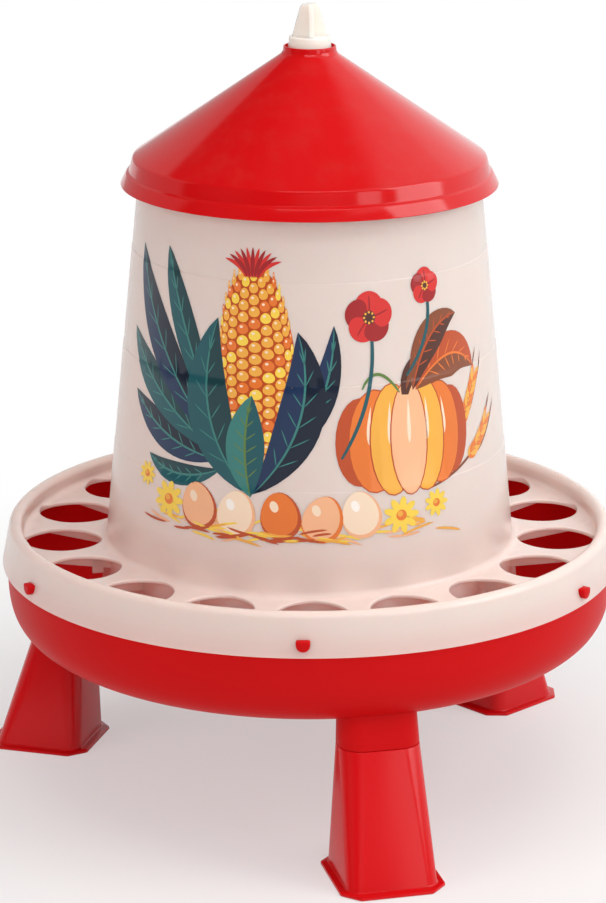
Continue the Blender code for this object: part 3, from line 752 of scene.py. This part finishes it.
def makeLegs():
    look = legLook
    red = makeRed("glossyRed", look["material"])
    seam = shared["seam"]
    wall, flange, fillet = look["wall"], look["flange"], look["fillet"]
    plug = wall + 0.3
    for number, degrees in enumerate(shared["legAngles"], start=1):
        angle = math.radians(degrees)
        bm = bmesh.new()
        rings = [legRing(seam - wall, wall), legRing(0.4, wall), legRing(0.0, wall - 0.4),
                 flangeRing(0.0, 0.4), flangeRing(0.4, 0.0), flangeRing(flange - 0.7, 0.0),
                 flangeRing(flange - 0.2, 0.25), flangeRing(flange, 0.9)]
        for i in range(5):  # small fillet between flange and body
            t = i / 4 * math.pi / 2
            rings.append(legRing(flange + fillet * (1 - math.cos(t)), -fillet * (1 - math.sin(t))))
        rings += [legRing(seam - 0.5, 0), legRing(seam - 0.15, 0.15), legRing(seam, 0.5)]
        rings += [legRing(seam, plug), legRing(seam + look["spigot"] - 0.8, plug),
                  legRing(seam + look["spigot"], plug + 0.8)]
        loft(bm, rings, angle)
        finishPiece(f"legShell{number}", bm, red, [f"leg_{number}"])
    print("legs made")


# Lid

lidLook = {
    "material": {
        "colour": colour(208, 14, 18), "colourDrift": 0.05, "roughness": 0.12, "roughnessDrift": 0.03,
        "grainScale": 1700.0, "grainDepth": 0.08, "waveScale": 14.0, "waveDepth": 0.06,
        "dustColour": colour(190, 90, 80), "dust": 0.10, "specks": 0.2, "ior": 1.5,
        "gloss": 0.40,
    },
    "inside": 115.2, "wall": 2.2, "seatWidth": 7.0, "shoulder": 434.1, "coneRise": 68.2, "bandDrop": 9.4,
    "bandFlare": 2.4, "ledgeDrop": 1.0, "ledgeWidth": 1.8, "skirtFlare": 4.0, "skirtDrop": 7.9,
    "collarInside": 16.3, "collar": 17.8, "collarTop": 17.3, "facets": 240,
}


def makeLid():
    look = lidLook
    red = makeRed("lidRed", look["material"])
    shoulder = look["inside"] + look["wall"]
    slope = look["coneRise"] / (shoulder - look["collar"])
    drop = look["wall"] * math.hypot(1, slope)

    def coneZ(radius):
        return look["shoulder"] + slope * (shoulder - radius)

    ledgeZ = look["shoulder"] - look["bandDrop"]
    ledgeLow = ledgeZ - look["ledgeDrop"]
    foot = shoulder + look["bandFlare"]
    ledge = foot + look["ledgeWidth"]
    edgeZ = ledgeLow - look["skirtDrop"]
    edge = ledge + look["skirtFlare"]
    wall = look["wall"]
    inner, collar, bore = look["inside"], look["collar"], look["collarInside"]
    seat = shared["hopperTop"] + 0.3
    seatInner = inner - look["seatWidth"]
    top = shared["collarTop"]
    section = softSection([
        (bore, top, 0.5), (look["collarTop"], top, 0.5), (collar - 0.1, coneZ(collar) + 1.4, 0.6),
        (collar + 1.2, coneZ(collar + 1.2), 0.9), (shoulder, look["shoulder"], 1.6), (foot, ledgeZ, 0.5),
        (ledge, ledgeLow, 0.8), (edge, edgeZ, 0.7), (edge - wall, edgeZ, 0.7),
        (ledge - wall, ledgeLow - 1.1, 0.5), (foot - wall, ledgeZ - 1.1, 0.5), (inner, seat, 0.4),
        (seatInner, seat, 0.6), (seatInner, coneZ(seatInner) - drop, 0.6),
        (bore, coneZ(bore) - drop, 0.5)], 4)
    bm = bmesh.new()
    sweep(bm, section, evenAngles(look["facets"]))
    lid = finishPiece("lidShell", bm, red, ["lid"])
    print("lid made:", len(lid.data.polygons), "faces")


# Hanging post

postLook = {
    "colour": colour(246, 239, 230),
    "span": 18.0, "rib": 3.2, "headAngle": 6.5, "baseRadius": 14.5, "baseTopRadius": 13.7,
    "foot": 140.1, "baseBottom": 502.0, "baseTop": 513.2, "solidQuarters": (0, 2), "slant": 0.045,
    "levels": ((-1.6, 11.6), (0.0, 11.6), (0.6, 11.35), (4.0, 10.45), (8.25, 9.35), (12.4, 8.25),
               (16.5, 7.15), (18.6, 6.45), (20.0, 5.75), (20.8, 5.1), (21.3, 4.3)),
}


def crossRing(reach, rib, height, solid=(), ease=0.5):
    # Section of four ribs; a solid quarter is filled straight from rib to rib.
    half = rib / 2
    filled = (reach + half) / 2 - 0.2
    points = []
    for k in range(4):
        root = filled if (k - 1) % 4 in solid else half
        arm = [(root, -root), (reach - ease, -half), (reach - ease * 0.3, -half + ease * 0.3),
               (reach, -half + ease), (reach, half - ease), (reach - ease * 0.3, half - ease * 0.3),
               (reach - ease, half)]
        c, s = math.cos(k * math.pi / 2), math.sin(k * math.pi / 2)
        points += [(x * c - y * s, x * s + y * c, height) for x, y in arm]
    return points


def makePost():
    look = postLook
    milky = makeMilky("postPlastic", {**hopperLook["material"], "colour": look["colour"], "glow": 0.0})
    bm = bmesh.new()
    angle = math.radians(look["headAngle"])
    shank = [crossRing(look["span"] / 2, look["rib"], z) for z in (look["foot"], look["baseBottom"] + 1)]
    loft(bm, shank, angle)
    top, tip = look["levels"][-1]
    rings = []
    for rise, reach in look["levels"]:  # the tip is cut a little aslant
        share = max(0.0, rise / top) ** 2
        ring = crossRing(reach, look["rib"], look["baseTop"] + rise, look["solidQuarters"])
        rings.append([(x, y, z - share * look["slant"] * (tip - x)) for x, y, z in ring])
    loft(bm, rings, angle)
    section = softSection([(0.01, look["baseTop"], 0), (look["baseTopRadius"], look["baseTop"], 0.9),
                           (look["baseRadius"], look["baseBottom"], 0.6), (0.01, look["baseBottom"], 0)], 4,
                          closed=False)
    sweep(bm, section, evenAngles(96))
    post = finishPiece("hangingPostShell", bm, milky, ["hanging_post"])
    print("post made:", len(post.data.polygons), "faces")


# Print on the hopper: maize, a pumpkin, poppies, wheat, daisies, eggs and straw, as flat fields of ink
# laid in layers.
# Places are in millimetres: across, along the wall from its front line, and up from the floor.

printLook = {
    "lift": 0.08, "layerStep": 0.004, "cell": 4.0, "frontAngle": -90.0, "turnRadius": 127.0,
    "material": {
        "colourDrift": 0.22, "roughness": 0.30, "roughnessDrift": 0.10, "grainScale": 1500.0,
        "grainDepth": 0.10, "waveScale": 16.0, "waveDepth": 0.05, "ior": 1.49,
    },
    "lowStraw": {"count": 46, "across": (-104, 82), "up": (209, 219), "lean": 24, "longest": 30,
                 "inks": ("gold", "yellow", "rust", "peach"), "layer": 56, "step": 0.08, "width": 1.7},
    "topStraw": {"count": 30, "across": (-96, 60), "up": (208, 214), "lean": 16, "longest": 26,
                 "inks": ("gold", "yellow", "rust"), "layer": 72, "step": 0.1, "width": 1.6},
    "inks": {
        "night": colour(14, 26, 46), "pine": colour(18, 60, 66), "navy": colour(24, 46, 82),
        "teal": colour(24, 86, 94), "sea": colour(56, 126, 120),
        "leaf": colour(96, 128, 62), "gold": colour(242, 176, 70), "orange": colour(232, 122, 48),
        "rust": colour(190, 78, 34), "brown": colour(134, 72, 42), "bark": colour(84, 44, 32),
        "red": colour(212, 48, 44), "wine": colour(160, 30, 34), "yellow": colour(250, 214, 80),
        "peach": colour(246, 186, 142), "cream": colour(250, 226, 198), "milk": colour(255, 250, 242),
    },
}


def blade(start, bend, end, width, fullness=0.8, steps=16, blunt=0.0):
    # Leaf, petal or stroke: a strip along a curve, as pairs of (left, right) points.
    pairs = []
    for i in range(steps + 1):
        t = i / steps
        x = (1 - t) ** 2 * start[0] + 2 * t * (1 - t) * bend[0] + t * t * end[0]
        z = (1 - t) ** 2 * start[1] + 2 * t * (1 - t) * bend[1] + t * t * end[1]
        dx = (1 - t) * (bend[0] - start[0]) + t * (end[0] - bend[0])
        dz = (1 - t) * (bend[1] - start[1]) + t * (end[1] - bend[1])
        length = math.hypot(dx, dz)
        half = width / 2 * max(math.sin(math.pi * t) ** fullness, blunt)
        pairs.append(((x - dz / length * half, z + dx / length * half),
                      (x + dz / length * half, z - dx / length * half)))
    return pairs


def oval(middle, across, up, tilt=0.0, narrow=0.0, points=24):  # narrow draws the upper end in, as on an egg
    c, s = math.cos(math.radians(tilt)), math.sin(math.radians(tilt))
    outline = []
    for i in range(points):
        a = 2 * math.pi * i / points
        x, z = across * math.cos(a) * (1 - narrow * math.sin(a)), up * math.sin(a)
        outline.append((middle[0] + x * c - z * s, middle[1] + x * s + z * c))
    return outline


def layStrip(bm, ink, layer, pairs):
    rows = [[bm.verts.new((x, layer, z)) for x, z in pair] for pair in pairs]
    for (left, right), (nextLeft, nextRight) in zip(rows, rows[1:]):
        bm.faces.new((left, right, nextRight, nextLeft)).material_index = inkNumber(ink)


def layField(bm, ink, layer, outline):
    bm.faces.new([bm.verts.new((x, layer, z)) for x, z in outline]).material_index = inkNumber(ink)


def inkNumber(ink):
    return list(printLook["inks"]).index(ink)


def between(a, b):
    return (a[0] + b[0]) / 2, (a[1] + b[1]) / 2


def towards(point, degrees, distance):
    a = math.radians(degrees)
    return point[0] + distance * math.cos(a), point[1] + distance * math.sin(a)


def layLeaf(bm, layer, start, bend, end, width, ink, vein, shade):
    # A leaf with one half in shade, a midrib and side veins.
    pairs = blade(start, bend, end, width)
    layStrip(bm, ink, layer, pairs)
    layStrip(bm, shade, layer + 0.5, [(between(a, b), b) for a, b in pairs])
    layStrip(bm, vein, layer + 1, blade(start, bend, end, 1.5, 0.4))
    for i in range(3, 14, 2):
        root = between(*pairs[i])
        for side, follow in zip(pairs[i], pairs[i + 1]):
            tip = (root[0] + (side[0] - root[0]) * 0.62 + (follow[0] - side[0]) * 1.5,
                   root[1] + (side[1] - root[1]) * 0.62 + (follow[1] - side[1]) * 1.5)
            layStrip(bm, vein, layer + 1, blade(root, between(root, tip), tip, 0.8, 0.5, 4))


def layMaize(bm):
    for i, (start, bend, end, width, ink) in enumerate((
            ((-58, 252), (-92, 236), (-118, 252), 15, "teal"),
            ((-60, 258), (-104, 262), (-140, 290), 22, "navy"),
            ((-58, 262), (-122, 296), (-150, 330), 22, "teal"),
            ((-60, 268), (-124, 330), (-147, 386), 26, "navy"),
            ((-58, 274), (-98, 350), (-112, 390), 20, "teal"),
            ((-18, 262), (16, 296), (16, 348), 18, "navy"))):
        layLeaf(bm, 2 * i, start, bend, end, width, ink, "sea", "night" if ink == "navy" else "pine")
    layField(bm, "rust", 12, oval((-36, 318), 27, 68, 3))
    for column in range(-4, 5):
        turn = math.radians(column * 20)
        for row in range(17):
            up = -61 + row * 7.6 + (3.8 if column % 2 else 0.0)
            wide = math.sqrt(max(0.0, 1 - (up / 69) ** 2)) ** 0.8
            if wide < 0.3:
                continue
            place = (-36 + 26 * math.sin(turn) * wide - up * 0.05, 318 + up)
            ink = ("gold", "orange", "gold", "yellow", "gold")[(column * 7 + row * 3) % 5]
            size = (4.2 * math.cos(turn) * wide + 0.3, 3.5)
            layField(bm, ink, 13 + 0.2 * (column % 4) + 0.1 * (row % 2),
                     oval(place, size[0], size[1], 3, 0.12, 12))
            shine = (place[0] - size[0] * 0.25, place[1] + 1.2)
            layField(bm, "cream", 14, oval(shine, size[0] * 0.3, 0.9, 3, 0, 8))
    for i in range(11):  # silk at the cob's tip
        lean = i - 5
        root = (-40 + lean * 0.9, 377)
        bend, end = towards(root, 90 - lean * 3, 9), towards(root, 90 - lean * 11, 20)
        layStrip(bm, ("red", "wine")[i % 2], 15 + i % 2, blade(root, bend, end, 3.0, 0.6, 10))
    layLeaf(bm, 18, (-38, 238), (-86, 286), (-64, 350), 32, "teal", "sea", "pine")
    layLeaf(bm, 20, (-36, 238), (10, 286), (-8, 344), 30, "navy", "sea", "night")
    layLeaf(bm, 22, (-37, 236), (-46, 268), (-38, 302), 26, "sea", "leaf", "teal")


def layPumpkin(bm):
    middle = (66, 272)
    for i, (side, wide, tall, ink) in enumerate((
            (-34, 15, 28, "rust"), (34, 15, 28, "rust"), (-24, 17, 33, "orange"), (24, 17, 33, "orange"),
            (-12, 15, 36, "gold"), (12, 15, 36, "gold"), (0, 13, 37, "peach"))):
        lobe = (middle[0] + side, middle[1])
        layField(bm, "rust", 24 + 2 * i, oval(lobe, wide + 1.0, tall + 0.8))
        layField(bm, ink, 25 + 2 * i, oval(lobe, wide, tall))
        top = (middle[0] + side * 1.1, middle[1] + tall * 0.7)
        bend, end = (top[0] + side * 0.16, middle[1]), (top[0], middle[1] - tall * 0.1)
        layStrip(bm, "cream", 25 + 2 * i + 1, blade(top, bend, end, 2.6, 0.8, 8))
    layStrip(bm, "bark", 40, blade((64, 300), (66, 318), (80, 324), 10, 0.3, 12, 0.5))
    layStrip(bm, "brown", 41, blade((65, 303), (68, 316), (79, 321), 3, 0.5, 12))
    layLeaf(bm, 42, (72, 302), (104, 336), (128, 308), 30, "rust", "orange", "brown")
    layLeaf(bm, 44, (70, 302), (82, 346), (112, 346), 22, "brown", "rust", "bark")
    layStrip(bm, "leaf", 46, blade((60, 302), (44, 326), (34, 306), 2.0, 0.2, 20, 0.4))


def layPoppy(bm, middle, size, foot):
    bend = (middle[0] + 8, between(middle, foot)[1])
    layStrip(bm, "teal", 47, blade(foot, bend, middle, 2.6, 0.2, 20, 0.6))
    for i in range(5):
        petal = towards(middle, 90 + i * 72, size * 0.56)
        layField(bm, ("red", "wine")[i % 2], 48 + i, oval(petal, size * 0.56, size * 0.44, i * 72, 0.1))
        layStrip(bm, "wine", 53, blade(middle, towards(middle, 84 + i * 72, size * 0.5),
                                       towards(middle, 90 + i * 72, size * 0.85), 1.2, 0.4, 8))
    layField(bm, "bark", 54, oval(middle, size * 0.26, size * 0.26))
    for i in range(8):
        layField(bm, "gold", 55, oval(towards(middle, i * 45, size * 0.2), 0.8, 0.8, 0, 0, 8))


def layWheat(bm, foot, bend, tip, layer):
    stem = blade(foot, bend, tip, 1.8, 0.2, 24, 0.6)
    layStrip(bm, "brown", layer, stem)
    for i in range(13, 25):
        here = between(*stem[i])
        (x, z), before = stem[i][0], stem[i - 1][0]
        way = math.degrees(math.atan2(z - before[1], x - before[0]))
        for side in (-1, 1):
            end = towards(here, way + side * 24, 9.5)
            ink = ("gold", "orange")[(i + (side > 0)) % 2]
            layStrip(bm, ink, layer + 1 + 0.2 * (i % 3) + 0.1 * (side > 0),
                     blade(here, towards(here, way + side * 40, 5), end, 3.6, 0.7, 8))
            bend = towards(end, way + side * 10, 5)
            layStrip(bm, "brown", layer, blade(end, bend, towards(end, way, 11), 0.6, 0.3, 6))


def layDaisy(bm, middle, size):
    for i in range(9):
        petal = towards(middle, i * 40, size * 0.6)
        layField(bm, "yellow", 62 + i % 2, oval(petal, size * 0.42, size * 0.2, i * 40))
    layField(bm, "orange", 64, oval(middle, size * 0.3, size * 0.3))
    eye = (middle[0] - size * 0.07, middle[1] + size * 0.08)
    layField(bm, "gold", 65, oval(eye, size * 0.16, size * 0.16))


def layStraw(bm, straw, look):
    for i in range(look["count"]):
        foot = (straw.uniform(*look["across"]), straw.uniform(*look["up"]))
        way = straw.uniform(-look["lean"], look["lean"]) + (180 if straw.random() < 0.5 else 0)
        long = straw.uniform(12, look["longest"])
        layStrip(bm, straw.choice(look["inks"]), look["layer"] + i * look["step"],
                 blade(foot, towards(foot, way + 8, long / 2), towards(foot, way, long),
                       look["width"], 0.3, 6))


def layEggs(bm):
    straw = random.Random(11)
    layStraw(bm, straw, printLook["lowStraw"])
    for i, (x, z, tilt, ink, shade) in enumerate((
            (-72, 226, 12, "peach", "rust"), (-46, 224, -8, "cream", "peach"),
            (-18, 225, 5, "orange", "rust"), (8, 223, -14, "peach", "orange"),
            (32, 225, 9, "cream", "peach"))):
        layer = 66 + 3 * (i % 2)
        layField(bm, shade, layer, oval((x, z), 12.6, 15.6, tilt, 0.13))
        layField(bm, ink, layer + 1, oval((x - 0.9, z + 1.2), 11.4, 14.2, tilt, 0.13))
        layField(bm, "milk" if ink == "cream" else "cream", layer + 2, oval((x - 4, z + 6), 2.6, 3.8, 20))
    layStraw(bm, straw, printLook["topStraw"])


def makePrint():
    look = printLook
    bm = bmesh.new()
    layMaize(bm)
    for foot, bend, tip in (((84, 240), (112, 270), (128, 300)), ((78, 236), (118, 244), (140, 268))):
        layWheat(bm, foot, bend, tip, 22)
    layPumpkin(bm)
    layPoppy(bm, (40, 352), 17, (20, 262))
    layPoppy(bm, (84, 368), 12, (66, 312))
    for middle, size in (((-96, 226), 12), ((58, 222), 12), ((84, 226), 9), ((-118, 238), 8)):
        layDaisy(bm, middle, size)
    layEggs(bm)
    bmesh.ops.remove_doubles(bm, verts=bm.verts, dist=0.0005)
    across = [v.co.x for v in bm.verts]
    upright = [(Vector((k * look["cell"], 0, 0)), Vector((1, 0, 0)))
               for k in range(int(min(across) / look["cell"]), int(max(across) / look["cell"]) + 1)]
    level = [(Vector((0, 0, step + side)), Vector((0, 0, 1)))
             for step in shared["stepHeights"] for side in (-shared["stepHalf"], shared["stepHalf"])]
    for place, normal in upright + level:  # cut small enough to lie on the round wall
        bmesh.ops.bisect_plane(bm, geom=bm.verts[:] + bm.edges[:] + bm.faces[:], dist=1e-4, plane_co=place,
                               plane_no=normal)
    bmesh.ops.triangulate(bm, faces=bm.faces)
    front = math.radians(look["frontAngle"])
    for v in bm.verts:  # every layer keeps to the same flat facets, so none cuts through another
        point = (hopperRadius(v.co.z) + look["lift"] + look["layerStep"] * v.co.y, 0, v.co.z)
        facet = math.floor(v.co.x / look["cell"] + 1e-4)
        cuts = (front + k * look["cell"] / look["turnRadius"] for k in (facet, facet + 1))
        left, right = (around(point, angle) for angle in cuts)
        v.co = left.lerp(right, v.co.x / look["cell"] - facet)
    inks = [makeInk(name + "Ink", ink, look["material"]) for name, ink in look["inks"].items()]
    piece = placeMesh("farmPrint", bm, inks)
    piece.data.shade_smooth()
    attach(piece, "root")
    print("print made:", len(piece.data.polygons), "faces")


makeHopper()
makePan()
makeLegs()
makeLid()
makePost()
makePrint()


# Floor, light and camera

stageLook = {
    "floor": (0.84, 0.83, 0.82, 1.0), "floorWhite": 0.45, "fadeFrom": 0.24, "fadeTo": 0.75,
    "roomLight": 0.25, "overheadGlow": (0.05, 0.9), "frontGlow": (0.03, 0.25), "backGlow": (0.5, 1.1),
    "backGlowTop": (0.60, 0.63), "behind": (-0.10, 0.05), "toRight": (-0.30, 0.30),
    "aboveRight": (0.24, 0.46),
    "floorHalf": 12.0, "floorDrop": 0.0002, "floorRoughness": 0.8, "floorGloss": 0.1,
    "lamps": (  # name, place, size, watts, tint, seen in gloss
        ("rightWindow", (2.1, -0.6, 1.5), (1.5, 1.5), 27.0, (1, 1, 1), True),
        ("narrowWindow", (1.36, -1.73, 0.9), (0.56, 0.9), 3.2, (1, 1, 1), True),
        ("highWindow", (1.0, 1.2, 2.3), (1.5, 1.5), 6.0, (1, 1, 1), False),
        ("leftWindow", (-2.0, -1.3, 1.2), (1.4, 1.6), 15.0, (1, 0.80, 0.76), False),
        ("frontWindow", (0.2, -2.6, 1.2), (1.2, 1.0), 9.0, (1, 1, 1), False),
        ("frontStrip", (0.1, -1.7, 2.5), (1.8, 0.45), 7.0, (1, 1, 1), True),
        ("ceiling", (0.3, -0.3, 2.6), (2.2, 2.2), 26.0, (1, 1, 1), False),
    ),
    "lampTarget": (0.0, 0.0, 0.28),
    "lens": 127.06, "sensor": 36.0, "near": 0.05, "far": 50.0,
    "cameraPlace": (-0.0044, -2.079, 0.852), "cameraDown": 16.69,
}


def makeRoomLight():
    # An even room. Gloss sees it brighter behind the feeder than in front, and brighter to the right.
    look = stageLook
    world = bpy.data.worlds.new("studio")
    bpy.context.scene.world = world
    world.use_nodes = True
    tree = world.node_tree
    background = tree.nodes["Background"]
    path = tree.nodes.new("ShaderNodeLightPath")
    way = tree.nodes.new("ShaderNodeSeparateXYZ")
    tree.links.new(tree.nodes.new("ShaderNodeTexCoord").outputs["Generated"], way.inputs[0])
    under = fall(tree, way.outputs["Z"], *look["backGlowTop"])
    behind = ramp(tree, way.outputs["Y"], *look["behind"])
    right = ramp(tree, way.outputs["X"], *look["toRight"])
    lower = mixNumber(tree, behind, mixNumber(tree, right, *look["frontGlow"]),
                      mixNumber(tree, right, *look["backGlow"]))
    overhead = mixNumber(tree, ramp(tree, way.outputs["X"], *look["aboveRight"]), *look["overheadGlow"])
    gloss = mixNumber(tree, under, overhead, lower)
    strength = mixNumber(tree, path.outputs["Is Glossy Ray"], look["roomLight"], gloss)
    seen = mathNode(tree, "MAXIMUM", path.outputs["Is Camera Ray"], path.outputs["Is Transmission Ray"])
    tree.links.new(mixNumber(tree, seen, strength, 1.0), background.inputs["Strength"])
    background.inputs["Color"].default_value = (1, 1, 1, 1)


def makeFloor():
    # A pale floor that turns to plain white away from the feeder and keeps its shadow near it.
    look = stageLook
    bm = bmesh.new()
    bmesh.ops.create_grid(bm, x_segments=1, y_segments=1, size=look["floorHalf"])
    material, tree, shader = newMaterial("paleFloor")
    floor = placeMesh("floor", bm, [material])
    floor.location.z = -look["floorDrop"]
    shader.inputs["Base Color"].default_value = look["floor"]
    shader.inputs["Roughness"].default_value = look["floorRoughness"]
    shader.inputs["Specular IOR Level"].default_value = look["floorGloss"]
    glow = tree.nodes.new("ShaderNodeEmission")
    path = tree.nodes.new("ShaderNodeLightPath")
    seen = mathNode(tree, "MAXIMUM", path.outputs["Is Camera Ray"], path.outputs["Is Glossy Ray"])
    seen = mathNode(tree, "MAXIMUM", seen, path.outputs["Is Transmission Ray"])
    place = tree.nodes.new("ShaderNodeVectorMath")
    place.operation = "LENGTH"
    tree.links.new(tree.nodes.new("ShaderNodeTexCoord").outputs["Object"], place.inputs[0])
    fade = ramp(tree, place.outputs["Value"], look["fadeFrom"], look["fadeTo"])
    share = mixNumber(tree, fade, look["floorWhite"], 1.0)
    mix = tree.nodes.new("ShaderNodeMixShader")
    tree.links.new(mathNode(tree, "MULTIPLY", seen, share), mix.inputs[0])
    tree.links.new(shader.outputs[0], mix.inputs[1])
    tree.links.new(glow.outputs[0], mix.inputs[2])
    below = tree.nodes.new("ShaderNodeMixShader")  # clear from underneath
    side = tree.nodes.new("ShaderNodeNewGeometry").outputs["Backfacing"]
    tree.links.new(side, below.inputs[0])
    tree.links.new(mix.outputs[0], below.inputs[1])
    tree.links.new(tree.nodes.new("ShaderNodeBsdfTransparent").outputs[0], below.inputs[2])
    tree.links.new(below.outputs[0], tree.nodes["Material Output"].inputs["Surface"])


def makeStage():
    look = stageLook
    makeRoomLight()
    makeFloor()
    for name, place, size, power, tint, glossy in look["lamps"]:
        lamp = bpy.data.lights.new(name, "AREA")
        lamp.shape = "RECTANGLE"
        lamp.size, lamp.size_y = size
        lamp.energy = power
        lamp.color = tint
        holder = bpy.data.objects.new(name, lamp)
        holder.location = place
        holder.visible_glossy = glossy
        aim = Vector(look["lampTarget"]) - Vector(place)
        holder.rotation_euler = aim.to_track_quat("-Z", "Y").to_euler()
        bpy.context.scene.collection.objects.link(holder)

    camera = bpy.data.cameras.new("photoView")
    camera.lens = look["lens"]
    camera.sensor_width = look["sensor"]
    camera.clip_start = look["near"]
    camera.clip_end = look["far"]
    holder = bpy.data.objects.new("photoView", camera)
    holder.location = axis + Vector(look["cameraPlace"])
    holder.rotation_euler = (math.radians(90 - look["cameraDown"]), 0, 0)
    bpy.context.scene.collection.objects.link(holder)
    bpy.context.scene.camera = holder
    bpy.context.scene.view_settings.view_transform = "Standard"


makeStage()
print("stage made")
